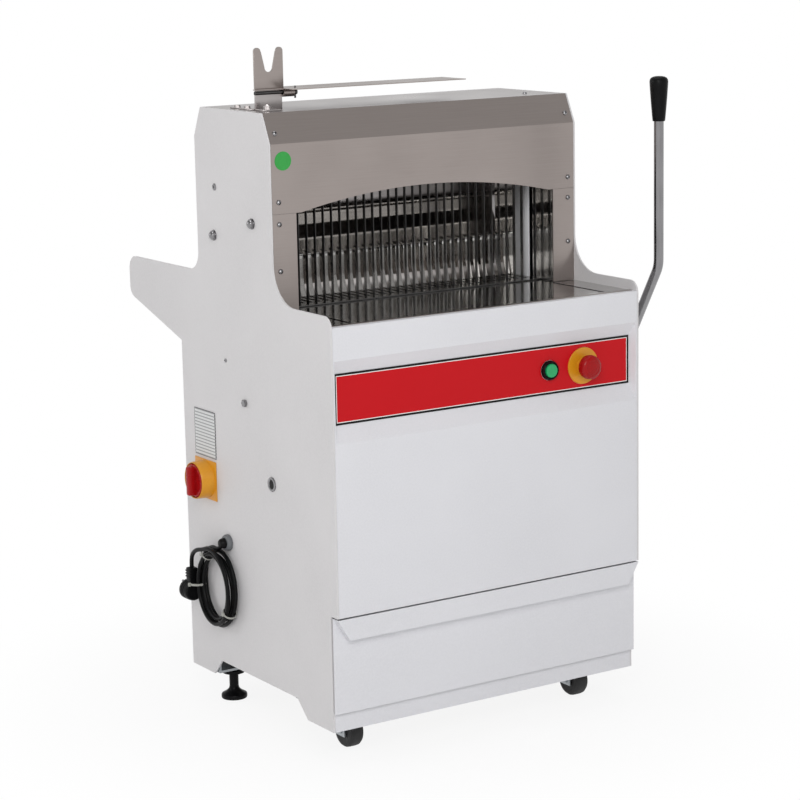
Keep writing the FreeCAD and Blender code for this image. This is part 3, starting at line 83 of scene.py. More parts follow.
# grain and smudge are real sizes in mm along x, y and z; rough is the range of roughness
finishes = {
    # powder-coated steel: even pale grey with a faint orange peel
    "powderCoatedPanel": dict(colour="dad8d9", second="d4d2d3", grain=(3, 3, 3), smudge=160,
                              rough=(0.42, 0.52), bump=0.014),
    "powderCoatedCover": dict(colour="e2e2e6", second="dcdce0", grain=(3, 3, 3), smudge=200,
                              rough=(0.36, 0.46), bump=0.014),
    "whiteStrip": dict(colour="f8f8fa", second="f0f0f3", grain=(3, 3, 3), smudge=60,
                       rough=(0.35, 0.45), bump=0.02),
    # brushed stainless steel: fine lines across the sheet, warm grey
    "brushedStainless": dict(colour="a39a96", second="9b928e", grain=(90, 1.2, 1.2), smudge=140,
                             rough=(0.3, 0.4), bump=0.008, metal=1),
    # the roof's sheet has a paler satin face
    "satinStainless": dict(colour="b0abaa", second="a7a2a1", grain=(60, 1.5, 1.5), smudge=160,
                           rough=(0.26, 0.36), bump=0.006, metal=1),
    # comb of cut sheet: upright streaks of a bright and a much darker tone, painted highlight and painted
    # shade for the fingers
    "cutCombSteel": dict(colour="a09e9b", second="7d7b79", grain=(2, 2, 30), smudge=40,
                         rough=(0.1, 0.2), bump=0.015, metal=1),
    # rolled stainless steel of the rear flap
    "rolledStainless": dict(colour="a8a39e", second="8f8a86", grain=(60, 2, 2), smudge=90,
                            rough=(0.14, 0.24), bump=0.01, metal=1),
    # mirror-polished stainless steel: bright with faint scratches
    "polishedStainless": dict(colour="c4c3c1", second="b2b1af", grain=(50, 2, 2), smudge=70,
                              rough=(0.06, 0.16), bump=0.01, metal=1),
    # ground steel: fine upright lines
    "groundSteel": dict(colour="8c8b8a", second="747372", grain=(1.5, 1.5, 60), smudge=60,
                        rough=(0.25, 0.4), bump=0.03, metal=1),
    # blued spring steel of the blades, dark with a satin face
    "bluedBladeSteel": dict(colour="5b5a5a", second="474646", grain=(1.5, 1.5, 40), smudge=50,
                            rough=(0.25, 0.38), bump=0.02, metal=1),
    # zinc-galvanised steel: spangles about 10 mm across
    "galvanisedSteel": dict(colour="a9adb0", second="8d9195", grain=(10, 10, 10), smudge=60,
                            rough=(0.35, 0.55), bump=0.02, metal=1, cells=True),
    "chromedSteel": dict(colour="939294", second="828183", grain=(4, 4, 60), smudge=50,
                         rough=(0.08, 0.16), bump=0.008, metal=1),
    "turnedAluminium": dict(colour="b4b5b8", second="a2a3a6", grain=(1.2, 30, 30), smudge=50,
                            rough=(0.3, 0.42), bump=0.03, metal=1),
    "paintedCastIron": dict(colour="3c4247", second="33383c", grain=(2, 2, 2), smudge=40,
                            rough=(0.45, 0.6), bump=0.2),
    # moulded plastics: even colour, light texture from the mould
    "mouldedBlackPlastic": dict(colour="0b0b0c", second="131314", grain=(1.5, 1.5, 1.5), smudge=30,
                                rough=(0.28, 0.4), bump=0.05, specular=0.1),
    "mouldedGreyPlastic": dict(colour="6a6d70", second="5e6164", grain=(1.5, 1.5, 1.5), smudge=30,
                               rough=(0.4, 0.5), bump=0.08),
    "mouldedYellowPlastic": dict(colour="dc981a", second="d28e15", grain=(2, 2, 2), smudge=30,
                                 rough=(0.3, 0.4), bump=0.04),
    "mouldedRedPlastic": dict(colour="a80f13", second="960c10", grain=(2, 2, 2), smudge=30,
                              rough=(0.2, 0.3), bump=0.03, specular=0.2),
    "mouldedGreenPlastic": dict(colour="1fae68", second="189c5c", grain=(2, 2, 2), smudge=20,
                                rough=(0.22, 0.32), bump=0.03),
    "printedGreenFilm": dict(colour="2da042", second="28963c", grain=(4, 4, 4), smudge=20,
                             rough=(0.35, 0.42), bump=0.01),
    "nylonTie": dict(colour="a6a6a2", second="98988f", grain=(2, 2, 2), smudge=10,
                     rough=(0.4, 0.5), bump=0.04),
    # vulcanised rubber: matt black that takes up dust
    "vulcanisedRubber": dict(colour="1c1c1d", second="2a2a2a", grain=(2, 2, 2), smudge=20,
                             rough=(0.62, 0.78), bump=0.12),
    "extrudedCordSheath": dict(colour="080809", second="0f0f10", grain=(2, 2, 2), smudge=20,
                               rough=(0.3, 0.42), bump=0.04, specular=0.12),
}


def makeMaterial(name, look):
    mat = bpy.data.materials.new(name)
    mat.use_nodes = True
    tree = mat.node_tree
    shader = tree.nodes["Principled BSDF"]
    shader.inputs["Metallic"].default_value = look.get("metal", 0)
    shader.inputs["Specular IOR Level"].default_value = look.get("specular", 0.5)
    place = addNode(tree, "ShaderNodeTexCoord").outputs["Object"]
    fine = addNode(tree, "ShaderNodeMapping", {"Scale": [1000 / g for g in look["grain"]]},
                   {"Vector": place}).outputs[0]
    if look.get("cells"):
        grain = addNode(tree, "ShaderNodeTexVoronoi", {"Scale": 1.0}, {"Vector": fine}).outputs["Color"]
    else:
        grain = addNode(tree, "ShaderNodeTexNoise", {"Scale": 1.0, "Detail": 3.0},
                        {"Vector": fine}).outputs[0]
    cloud = addNode(tree, "ShaderNodeTexNoise", {"Scale": 1000 / look["smudge"], "Detail": 4.0},
                    {"Vector": place}).outputs[0]
    both = addNode(tree, "ShaderNodeMath", {"operation": "MULTIPLY"}, {0: grain, 1: cloud}).outputs[0]
    spread = addNode(tree, "ShaderNodeMapRange", {"From Min": 0.1, "From Max": 0.45},
                     {"Value": both}).outputs[0]
    colours = {"data_type": "RGBA", 6: linear(look["colour"]), 7: linear(look["second"])}
    tint = addNode(tree, "ShaderNodeMix", colours, {0: spread}).outputs[2]
    low, high = look["rough"]
    roughRange = {"From Min": 0.3, "From Max": 0.7, "To Min": low, "To Max": high}
    rough = addNode(tree, "ShaderNodeMapRange", roughRange, {"Value": cloud}).outputs[0]
    relief = addNode(tree, "ShaderNodeBump", {"Strength": look["bump"], "Distance": 0.0005},
                     {"Height": grain})
    tree.links.new(tint, shader.inputs["Base Color"])
    tree.links.new(rough, shader.inputs["Roughness"])
    tree.links.new(relief.outputs[0], shader.inputs["Normal"])
    return mat


materials = {name: makeMaterial(name, look) for name, look in finishes.items()}

# screen-printed film: bands of colour by the distance in mm from the sheet's edge, and plain lines
printedFilms = {
    "printedRedStrip": dict(middle=(0, 0, 594), half=(288.3, 400, 40.7),
                            bands=[(0, "101010"), (3.4, "f0f0ee"), (4.6, "c60d18")]),
    "printedPlate": dict(middle=(-300, 416, 477), half=(400, 36, 40), bands=[(0, "3a3b3c"), (1.2, "dcdddd")],
                         lineStep=5.5, lineHalf=0.9, lineColour="9b9c9d"),
}
rampWidth = 10


def makePrintedFilm(name, film):
    mat = bpy.data.materials.new(name)
    mat.use_nodes = True
    tree = mat.node_tree
    shader = tree.nodes["Principled BSDF"]
    place = addNode(tree, "ShaderNodeTexCoord").outputs["Object"]
    local = addNode(tree, "ShaderNodeVectorMath", {"operation": "SUBTRACT", 1: at(*film["middle"])},
                    {0: place}).outputs[0]
    away = addNode(tree, "ShaderNodeVectorMath", {"operation": "ABSOLUTE"}, {0: local}).outputs[0]
    half = [h / 1000 for h in film["half"]]
    inset = addNode(tree, "ShaderNodeVectorMath", {"operation": "SUBTRACT", 0: half}, {1: away}).outputs[0]
    parts = addNode(tree, "ShaderNodeSeparateXYZ", None, {0: inset}).outputs
    first = addNode(tree, "ShaderNodeMath", {"operation": "MINIMUM"}, {0: parts[0], 1: parts[1]}).outputs[0]
    edge = addNode(tree, "ShaderNodeMath", {"operation": "MINIMUM"}, {0: first, 1: parts[2]}).outputs[0]
    # the ramp runs over the first 10 mm from the edge
    scaled = addNode(tree, "ShaderNodeMath", {"operation": "MULTIPLY", 1: 1000 / rampWidth},
                     {0: edge}).outputs[0]
    ramp = addNode(tree, "ShaderNodeValToRGB", None, {0: scaled})
    ramp.color_ramp.interpolation = "CONSTANT"
    stops = ramp.color_ramp.elements
    while len(stops) < len(film["bands"]):
        stops.new(0.5)
    for stop, (start, colour) in zip(stops, film["bands"]):
        stop.position = start / rampWidth
        stop.color = linear(colour)
    tint = ramp.outputs[0]
    if "lineStep" in film:
        rows = addNode(tree, "ShaderNodeSeparateXYZ", None, {0: local}).outputs[2]
        step = addNode(tree, "ShaderNodeMath", {"operation": "PINGPONG", 1: film["lineStep"] / 2000},
                       {0: rows}).outputs[0]
        thin = addNode(tree, "ShaderNodeMath", {"operation": "LESS_THAN", 1: film["lineHalf"] / 1000},
                       {0: step}).outputs[0]
        tint = addNode(tree, "ShaderNodeMix", {"data_type": "RGBA", 7: linear(film["lineColour"])},
                       {0: thin, 6: tint}).outputs[2]
    cloud = addNode(tree, "ShaderNodeTexNoise", {"Scale": 12.0, "Detail": 4.0}, {"Vector": place}).outputs[0]
    rough = addNode(tree, "ShaderNodeMapRange", {"To Min": 0.3, "To Max": 0.42}, {"Value": cloud}).outputs[0]
    shader.inputs["Specular IOR Level"].default_value = 0.18
    tree.links.new(tint, shader.inputs["Base Color"])
    tree.links.new(rough, shader.inputs["Roughness"])
    return mat


for name, film in printedFilms.items():
    materials[name] = makePrintedFilm(name, film)
print("materials made:", len(materials))

nodeFinish = {
    "powderCoatedPanel": ["side_panel_left", "side_panel_right", "rear_panel"],
    "powderCoatedCover": ["front_cover", "drawer_front", "plinth"],
    "brushedStainless": ["hood", "opening_flanges", "outfeed_table", "bagging_tray", "drawer_pan"],
    "satinStainless": ["top_cover"],
    "rolledStainless": ["rear_flap"],
    "polishedStainless": ["bed_plate", "inner_walls"],
    "cutCombSteel": ["pusher_comb"],
    "groundSteel": ["carriage", "lever_shaft", "blade_frame_a", "blade_frame_b", "crankshaft"],
    "bluedBladeSteel": ["blades_a", "blades_b"],
    "galvanisedSteel": ["base_frame", "drive_deck", "caster_fork_left", "caster_fork_right"],
    "chromedSteel": ["guide_rods", "flap_rod", "lever_rod"],
    "turnedAluminium": ["connecting_rod_a", "connecting_rod_b", "crank_pulley", "motor_pulley"],
    "paintedCastIron": ["motor", "bearing_blocks"],
    "mouldedGreyPlastic": ["frame_guides"],
    "printedRedStrip": ["fascia_strip"],
    "printedGreenFilm": ["round_sticker"],
    "vulcanisedRubber": ["drive_belt"],
    "printedPlate": ["rating_plate"],
}


def dress(obj, mat):
    if not obj.data.materials:
        obj.data.materials.append(mat)
    for slot in obj.material_slots:
        slot.material = mat


for finish, names in nodeFinish.items():
    for name in names:
        dress(nodes[name], materials[finish])
print("nodes dressed:", sum(len(n) for n in nodeFinish.values()))


def clearSelection():
    if bpy.context.mode != "OBJECT":
        bpy.ops.object.mode_set(mode="OBJECT")
    bpy.ops.object.select_all(action="DESELECT")


def takeUp(piece):
    clearSelection()
    piece.select_set(True)
    bpy.context.view_layer.objects.active = piece


def placeInMesh(piece):
    takeUp(piece)
    bpy.ops.object.transform_apply(location=True, rotation=True, scale=True)


quarter = math.pi / 2
facing = {"x": (0, quarter, 0), "-x": (0, -quarter, 0), "y": (-quarter, 0, 0), "-y": (quarter, 0, 0),
          "z": (0, 0, 0)}


def turned(name, rings, place, axis, sides=48):
    # rings are (distance along the axis, radius) in mm from the first face to the last
    clearSelection()
    start, radius = rings[0]
    bpy.ops.mesh.primitive_circle_add(vertices=sides, radius=radius / 1000, fill_type="NGON",
                                      location=(0, 0, start / 1000))
    piece = bpy.context.object
    piece.name = name
    placeInMesh(piece)
    bpy.ops.object.mode_set(mode="EDIT")
    bpy.ops.mesh.select_all(action="SELECT")
    for (low, before), (high, radius) in zip(rings, rings[1:]):
        grow = radius / before
        bpy.ops.mesh.extrude_region_move(TRANSFORM_OT_translate={"value": (0, 0, (high - low) / 1000)})
        bpy.ops.transform.resize(value=(grow, grow, 1), center_override=(0, 0, high / 1000))
    bpy.ops.mesh.select_all(action="SELECT")
    bpy.ops.mesh.normals_make_consistent(inside=False)
    bpy.ops.object.mode_set(mode="OBJECT")
    piece.rotation_euler = facing[axis]
    piece.location = at(*place)
    placeInMesh(piece)
    return piece


def roundEdges(piece, width):
    takeUp(piece)
    edge = piece.modifiers.new("edge", "BEVEL")
    edge.width = width / 1000
    edge.segments = 2
    edge.limit_method = "ANGLE"
    bpy.ops.object.modifier_apply(modifier="edge")
    return piece


def block(name, low, high, edge):
    clearSelection()
    corner, far = at(*low), at(*high)
    bpy.ops.mesh.primitive_cube_add(size=1, location=(corner + far) / 2)
    piece = bpy.context.object
    piece.name = name
    piece.scale = far - corner
    placeInMesh(piece)
    return roundEdges(piece, edge)


def moved(place, shift):
    return tuple(p + s for p, s in zip(place, shift))


def blockAt(name, place, corners, edge):
    low, high = corners
    return block(name, moved(place, low), moved(place, high), edge)


def carve(piece, tool, kind):
    takeUp(piece)
    step = piece.modifiers.new("carve", "BOOLEAN")
    step.operation = kind
    step.solver = "EXACT"
    step.object = tool
    bpy.ops.object.modifier_apply(modifier="carve")
    takeUp(tool)
    bpy.ops.object.delete()


def joined(name, pieces):
    takeUp(pieces[0])
    for piece in pieces:
        piece.select_set(True)
    bpy.ops.object.join()
    pieces[0].name = name
    return pieces[0]


def settle(piece, finish, body, standsFor=()):
    dress(piece, materials[finish])
    takeUp(piece)
    bpy.ops.object.shade_smooth_by_angle(angle=math.radians(35))
    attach(piece, body)
    if standsFor:
        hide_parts(*standsFor)
    return piece


# mains cord: out of the gland, four oval turns hanging from it and down into the plug
cordSet = {
    "radius": 3.7, "middle": (-314, 370, 220), "ring": 60, "narrow": 0.88, "tall": 1.04,
    "turns": 4, "perTurn": 16, "start": 82, "spread": 7.2, "spreadTurn": 80, "lift": 6, "liftSteps": 6,
    "leaves": [(-313, 349, 296), (-314.5, 354, 291), (-315.5, 363, 288.5)],
    "arrives": [(-325, 396, 282), (-326, 415, 278), (-325, 431.5, 268), (-323, 440.5, 254), (-322, 442, 240)],
    # the smooth curve is a little shorter than the line through its points
    "lengthShare": 0.985,
}
coilX, coilY, coilZ = cordSet["middle"]
route = [at(*place) for place in cordSet["leaves"]]
steps = cordSet["perTurn"] * cordSet["turns"]
for step in range(steps + 1):
    angle = math.radians(cordSet["start"] - 360 * step / cordSet["perTurn"])
    section = math.radians(cordSet["spreadTurn"] * step / cordSet["perTurn"])
    reach = cordSet["ring"] + cordSet["spread"] * math.cos(section)
    lift = cordSet["lift"] * max(0, 1 - (steps - step) / cordSet["liftSteps"])
    route.append(at(coilX + cordSet["spread"] * math.sin(section) - lift,
                    coilY + reach * cordSet["narrow"] * math.cos(angle),
                    coilZ + reach * cordSet["tall"] * math.sin(angle)))
route += [at(*place) for place in cordSet["arrives"]]
curve = bpy.data.curves.new("mainsCord", "CURVE")
curve.dimensions = "3D"
curve.bevel_depth = cordSet["radius"] / 1000
curve.bevel_resolution = 5
curve.use_fill_caps = True
spline = curve.splines.new("NURBS")
spline.points.add(len(route) - 1)
for point, place in zip(spline.points, route):
    point.co = (*place, 1)
spline.order_u = 3
spline.use_endpoint_u = True
spline.resolution_u = 6
cordPiece = bpy.data.objects.new("mainsCord", curve)
bpy.context.scene.collection.objects.link(cordPiece)
dress(cordPiece, materials["extrudedCordSheath"])
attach(cordPiece, "cabinet")
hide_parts("mains_cord", "cord_coil")

# plug: round body with a ribbed cord clamp on top and two pins
plugSet = {
    "place": (-322, 434, 200),
    "body": [(0, 14.5), (1.5, 16.6), (6, 17.5), (9, 17.5), (10, 16.4), (12, 16.4), (13, 17.5), (15, 17.5),
             (16, 16.4), (18, 16.4), (19, 17.5), (24, 17.5), (25.5, 16.5), (26, 14.5)],
    "clamp": ((-8, 0, 12), (8, 16, 41)),
    "rib": ((-8.7, -0.4, 24), (8.7, 16.6, 26.4)), "ribs": 3, "ribStep": 5,
    "pin": [(0, 2.4), (16, 2.4), (18.2, 1.8), (19, 0.8)], "pinFace": 25.5, "pinShifts": (-9.5, 9.5),
}
plugBody = turned("plugBody", plugSet["body"], plugSet["place"], "y")
clamp = blockAt("plugClamp", plugSet["place"], plugSet["clamp"], 2.5)
ribPlaces = [moved(plugSet["place"], (0, 0, plugSet["ribStep"] * k)) for k in range(plugSet["ribs"])]
ribs = [blockAt("plugRib", place, plugSet["rib"], 0.8) for place in ribPlaces]
plugPiece = settle(joined("mainsPlug", [plugBody, clamp] + ribs), "mouldedBlackPlastic", "cabinet",
                   ["mains_plug"])
pinPlaces = [moved(plugSet["place"], (0, plugSet["pinFace"], shift)) for shift in plugSet["pinShifts"]]
pins = [turned("pin", plugSet["pin"], place, "y", 16) for place in pinPlaces]
pinPiece = settle(joined("plugPins", pins), "chromedSteel", "cabinet")

# cable ties: flat nylon bands round the turns, the first one holds the plug's clamp too
tieSet = {
    "band": 11.8, "thick": 0.9, "flat": 2.2, "head": (2.5, 2, 3.2), "headOut": 1.2,
    "places": [
        dict(angle=355, along=19, off=13.6, shift=11.9, out=3.4),
        dict(angle=60, along=11.8, off=11.8, shift=0, out=0),
        dict(angle=215, along=11.8, off=11.8, shift=0, out=0),
    ],
}
tiePieces = []
for spot in tieSet["places"]:
    clearSelection()
    bpy.ops.mesh.primitive_torus_add(major_radius=tieSet["band"] / 1000, minor_radius=tieSet["thick"] / 1000,
                                     major_segments=40, minor_segments=10, location=(0, 0, 0))
    tie = bpy.context.object
    tie.scale = (spot["along"] / tieSet["band"], spot["off"] / tieSet["band"], tieSet["flat"])
    placeInMesh(tie)
    head = block("tieHead", tuple(-h for h in tieSet["head"]), tieSet["head"], 0.6)
    for vertex in head.data.vertices:
        vertex.co += Vector((0, (spot["off"] + tieSet["headOut"]) / 1000, 0)) - at(0, 0, 0)
    tie = joined("tie", [tie, head])
    around = math.radians(spot["angle"])
    outwards = Vector((0, math.cos(around), math.sin(around)))
    sideways = Vector((-1, 0, 0))
    tie.matrix_world = Matrix((outwards, sideways, outwards.cross(sideways))).transposed().to_4x4()
    oval = Vector((0, outwards.y * cordSet["narrow"], outwards.z * cordSet["tall"]))
    tie.location = at(coilX - spot["out"], coilY, coilZ) + oval * (cordSet["ring"] + spot["shift"]) / 1000
    placeInMesh(tie)
    tiePieces.append(tie)
tiePiece = settle(joined("cableTies", tiePieces), "nylonTie", "cabinet", ["cord_ties"])

# cable gland: grey clamping nut with a black bush in it
glandSet = {
    "place": (-300, 346, 301),
    "nut": [(0, 13.6), (0.8, 14), (5, 14), (8, 12.6), (9, 10.8), (9, 9.2)],
    "bush": [(6, 9), (12, 8.8), (16, 7.8), (18.4, 6), (19, 4)],
}
nut = turned("glandNut", glandSet["nut"], glandSet["place"], "-x", 40)
settle(nut, "mouldedGreyPlastic", "cabinet", ["cable_gland"])
bush = turned("glandBush", glandSet["bush"], glandSet["place"], "-x", 40)
settle(bush, "mouldedBlackPlastic", "cabinet")

# lever grip: long black cone with a domed end
gripSet = {
    "place": (350, 8.8, 987),
    "rings": [(0, 8.6), (0, 9.9), (0.8, 10.5), (8, 11.2), (30, 13.1), (50, 14.6), (60, 15.3), (65, 15.5),
              (68.5, 14.9), (71, 13.2), (72.8, 10), (73.7, 6), (74, 2)],
}
grip = turned("leverGrip", gripSet["rings"], gripSet["place"], "z", 64)
settle(grip, "mouldedBlackPlastic", "lever", ["lever_knob"])

# start button: dark bezel with a green cap that sinks into it
startSet = {
    "place": (124, 13.4, 593.5), "contacts": ((109, 35.4, 573.5), (139, 71.4, 613.5)),
    "bezel": [(-22, 11), (0, 11), (0, 15.6), (0.6, 16.2), (5, 16.2), (7.4, 15), (8, 14), (7.6, 12.9),
              (5.5, 12.4), (0.3, 12), (0.3, 9.2), (-20, 9.2)],
    "cap": [(-13, 8.8), (4.7, 8.8), (4.7, 11.4), (8, 11.4), (9.1, 10.8), (9.5, 9.6), (9.2, 7.5), (9, 1)],
}
bezel = turned("startBezel", startSet["bezel"], startSet["place"], "-y")
contacts = block("startContacts", *startSet["contacts"], 1.5)
settle(joined("startHousing", [bezel, contacts]), "mouldedBlackPlastic", "cabinet",
       ["start_bezel"])
cap = turned("startCap", startSet["cap"], startSet["place"], "-y")
settle(cap, "mouldedGreenPlastic", "start", ["start_button"])

# emergency stop: yellow disc, collar and red mushroom head
stopSet = {
    "place": (193, 13.4, 593.5), "contacts": ((178, 35.4, 573.5), (208, 71.4, 613.5)),
    "disc": [(0, 30.2), (0.4, 30.6), (2.1, 30.6), (2.5, 30.2), (2.5, 14.6), (2.5, 14), (8, 14), (9, 13),
             (9, 8)],
    "head": [(-14, 7), (11, 7), (12, 12.5), (13.2, 17.5), (15, 19.6), (17.5, 20), (22, 20), (25.5, 19.4),
             (28, 17.4), (29.4, 14), (29.8, 12), (29.4, 11.2), (30.1, 9), (30.4, 5), (30.4, 1)],
}
disc = turned("stopDisc", stopSet["disc"], stopSet["place"], "-y", 64)
contacts = block("stopContacts", *stopSet["contacts"], 1.5)
settle(joined("stopRing", [disc, contacts]), "mouldedYellowPlastic", "cabinet",
       ["estop_ring"])
mushroom = turned("stopHead", stopSet["head"], stopSet["place"], "-y", 64)
settle(mushroom, "mouldedRedPlastic", "estop", ["estop_button"])
print("buttons made")

# main switch: yellow plate with a hollow rim, red rotary handle with finger scallops
switchSet = {
    "place": (-300, 417.5, 398), "plate": ((-302, 381, 364), (-300, 454, 432)),
    "housing": ((-296.7, 387.5, 368), (-240, 447.5, 428)), "lug": ((-337.6, 411.5, 373), (-322, 423.5, 423)),
    "rim": [(0, 33), (1.5, 33), (4, 32.4), (23.5, 31.6), (25.2, 31.2), (25.8, 30.6), (25.4, 29.9), (17, 29.6),
            (17, 20)],
    "disc": [(17.3, 27), (18.2, 28.6), (20, 29), (24, 29), (25.6, 28), (26.3, 25.5), (25.4, 23.5), (25.2, 12),
             (25.2, 2)],
    "scallops": 8, "scallopDepth": 1.8, "scallopFrom": 24,
}
plate = block("switchPlate", *switchSet["plate"], 0.9)
rim = turned("switchRim", switchSet["rim"], switchSet["place"], "-x", 64)
housing = block("switchHousing", *switchSet["housing"], 2)
settle(joined("switchBase", [plate, rim, housing]), "mouldedYellowPlastic", "cabinet",
       ["switch_plate"])
handle = turned("switchHandle", switchSet["disc"], switchSet["place"], "-x", 64)
middle = at(*switchSet["place"])
for vertex in handle.data.vertices:
    off = vertex.co - middle
    off.x = 0
    if off.length > switchSet["scallopFrom"] / 1000:
        wave = math.cos(switchSet["scallops"] * math.atan2(off.z, off.y))
        vertex.co -= off.normalized() * max(0, wave) ** 3 * switchSet["scallopDepth"] / 1000
lug = block("switchGrip", *switchSet["lug"], 3)
settle(joined("switchHandle", [handle, lug]), "mouldedRedPlastic", "main_switch",
       ["switch_knob"])
print("switch made")

# caster wheels: rubber tyre round a grey hub
leftRight = (("Left", -1), ("Right", 1))
wheelSet = {
    "x": 228.5, "y": 91, "z": 28, "width": 26,
    "tyre": [(0.8, 19.5), (0.3, 22), (1.2, 25.4), (4, 27.5), (8, 28), (18, 28), (22, 27.5), (24.8, 25.4),
             (25.7, 22), (25.2, 19.5)],
    "hub": [(0, 4.2), (0, 9), (0.8, 9.8), (3.4, 10.6), (3.4, 17), (1.4, 19.4), (13, 19.4), (24.6, 19.4),
            (22.6, 17), (22.6, 10.6), (25.2, 9.8), (26, 9), (26, 4.2)],
}
for side, sign in leftRight:
    start = (sign * wheelSet["x"] - wheelSet["width"] / 2, wheelSet["y"], wheelSet["z"])
    body = "wheel_" + side.lower()
    tyre = turned("tyre" + side, wheelSet["tyre"], start, "x", 64)
    settle(tyre, "vulcanisedRubber", body, ["caster_wheel_" + side.lower()])
    hub = turned("wheelHub" + side, wheelSet["hub"], start, "x")
    settle(hub, "mouldedGreyPlastic", body)

# levelling feet: rounded pad, thin neck and adjusting flange on a stud
footSet = {
    "x": 256, "y": 426,
    "rings": [(0, 20), (0.6, 21.8), (2, 22.5), (6, 22.5), (8, 21.6), (9.5, 19), (12, 14.5), (15, 11),
              (18, 8.8), (22, 8), (45, 8), (46, 9), (46, 19.2), (46.8, 20), (51.2, 20), (52, 19.2),
              (52, 10), (56.5, 10), (56.5, 6), (80, 6)],
}
for side, sign in leftRight:
    foot = turned("levellingFoot" + side, footSet["rings"], (sign * footSet["x"], footSet["y"], 0), "z")
    settle(foot, "mouldedBlackPlastic", "foot_" + side.lower(),
           ["levelling_foot_" + side.lower()])
print("wheels and feet made")

# fasteners: one shape for each kind, repeated on both panels, the flanges, the hood and the roof
fastenerKinds = {
    "ringCover": dict(sides=32, rings=[(0, 12), (1.4, 12), (2.2, 11.2), (2.2, 8.4), (0.8, 7.4), (0.8, 1)]),
    "ringCentre": dict(sides=32, rings=[(0, 7.2), (1.2, 7.2), (1.6, 6.7), (1.6, 1)]),
    "sideBolt": dict(sides=6, rings=[(0, 6.5), (4.4, 6.5), (5, 5.8), (5, 1)]),
    "smallScrew": dict(sides=24, rings=[(0, 3.5), (1, 3.4), (1.8, 2.4), (2, 1.4), (0.9, 1.2), (0.9, 0.4)]),
    "flatHead": dict(sides=32, rings=[(0, 6), (0.9, 5.8), (1.5, 5), (1.5, 2.4), (0.5, 2.1), (0.5, 0.5)]),
    "acornNut": dict(sides=24, rings=[(0, 9), (1, 9), (1, 7.6), (4.8, 7.4), (5.2, 6.2), (7.4, 4.9),
                                      (8.7, 2.6), (9, 0.8)]),
    "domeHead": dict(sides=24, rings=[(0, 4.2), (1.2, 4.1), (2.3, 3.2), (2.9, 2), (1.4, 1.6), (1.4, 0.5)]),
}
fastenerPlaces = {
    "panelFaces": ((-300, "-x"), (300, "x")), "ring": (193.7, 428.8),
    "panel": [("ringCover", 193.7, 428.8), ("sideBolt", 274, 550.7), ("smallScrew", 336, 613),
              ("flatHead", 355, 898.7), ("acornNut", 234, 848.9), ("acornNut", 362, 818.7)],
    "flangeX": (-284.5, 284.5), "flangeY": 173, "flangeZ": (887, 852, 777),
    "facetDeep": 22, "facetHigh": 48, "roofZ": 1027, "roof": (245, 241, 1027),
}


def fastener(kind, place, axis):
    shape = fastenerKinds[kind]
    return turned(kind, shape["rings"], place, axis, shape["sides"])


fasteners = []
for kind, y, z in fastenerPlaces["panel"]:
    for x, axis in fastenerPlaces["panelFaces"]:
        fasteners.append(fastener(kind, (x, y, z), axis))
facetDeep, facetHigh = fastenerPlaces["facetDeep"], fastenerPlaces["facetHigh"]
for x in fastenerPlaces["flangeX"]:
    for z in fastenerPlaces["flangeZ"]:
        fasteners.append(fastener("domeHead", (x, fastenerPlaces["flangeY"], z), "-y"))
    # the hood's screw stands square on the sloping facet, a third of the way up
    tilted = fastener("domeHead", (-origin["x"], -origin["y"], 0), "z")
    tilted.rotation_euler = (math.atan2(facetHigh, facetDeep), 0, 0)
    tilted.location = at(x, fastenerPlaces["flangeY"] + facetDeep / 3,
                         fastenerPlaces["roofZ"] - facetHigh * 2 / 3)
    placeInMesh(tilted)
    fasteners.append(tilted)
fasteners.append(fastener("domeHead", fastenerPlaces["roof"], "z"))
settle(joined("panelFasteners", fasteners), "chromedSteel", "cabinet", ["panel_screws"])
ringCentres = [fastener("ringCentre", (x, *fastenerPlaces["ring"]), axis)
               for x, axis in fastenerPlaces["panelFaces"]]
settle(joined("ringCentres", ringCentres), "mouldedBlackPlastic", "cabinet")
print("fasteners made:", len(fastenerKinds), "kinds")

# fork bracket: folded plate and strap bolted to the roof, with the hinge pin and its small wing screw
bracketSet = {
    "plate": ((-276, 253.5, 1027), (-226, 256.5, 1058.2)), "foot": ((-276, 222, 1027), (-246, 256.5, 1029.6)),
    "strap": ((-280, 257, 1027), (-261, 330, 1029.2)),
    "bolt": (-267, 231, 1029.6), "nuts": [(-274, 284, 1029.2), (-274, 316, 1029.2)],
    "boltRings": [(0, 7), (1.2, 7), (1.2, 6.2), (5.6, 6.2), (6.2, 5.4), (6.2, 3), (7.6, 2.8), (7.6, 0.6)],
    "nutRings": [(0, 5.6), (1, 5.6), (1, 5), (3.4, 5), (3.8, 4.4), (3.8, 0.6)],
    "pin": (-276, 255, 1054),
    "pinRings": [(0, 2.8), (0.4, 3.4), (49.6, 3.4), (50, 2.4), (76.6, 2.4), (77, 1.8)],
    "boss": (-204, 255, 1053), "bossRings": [(0, 3.6), (0.6, 4.2), (5.4, 4.2), (6, 3.6)],
    "ears": [((-202.6, 253.7, 1055.6), (-199.4, 256.3, 1063)),
             ((-202.6, 253.7, 1043), (-199.4, 256.3, 1050.4))],
}
sheets = [block("bracketPlate", *bracketSet["plate"], 0.5), block("bracketFoot", *bracketSet["foot"], 0.6),
          block("roofStrap", *bracketSet["strap"], 0.6)]
nuts = [turned("bracketBolt", bracketSet["boltRings"], bracketSet["bolt"], "z", 6)]
nuts += [turned("strapNut", bracketSet["nutRings"], place, "z", 6) for place in bracketSet["nuts"]]
hinge = [turned("hingePin", bracketSet["pinRings"], bracketSet["pin"], "x", 20),
         turned("wingBoss", bracketSet["bossRings"], bracketSet["boss"], "x", 24)]
hinge += [block("wingEar", *corners, 1) for corners in bracketSet["ears"]]
settle(joined("forkBracket", sheets + nuts), "satinStainless", "cabinet", ["fork_bracket"])
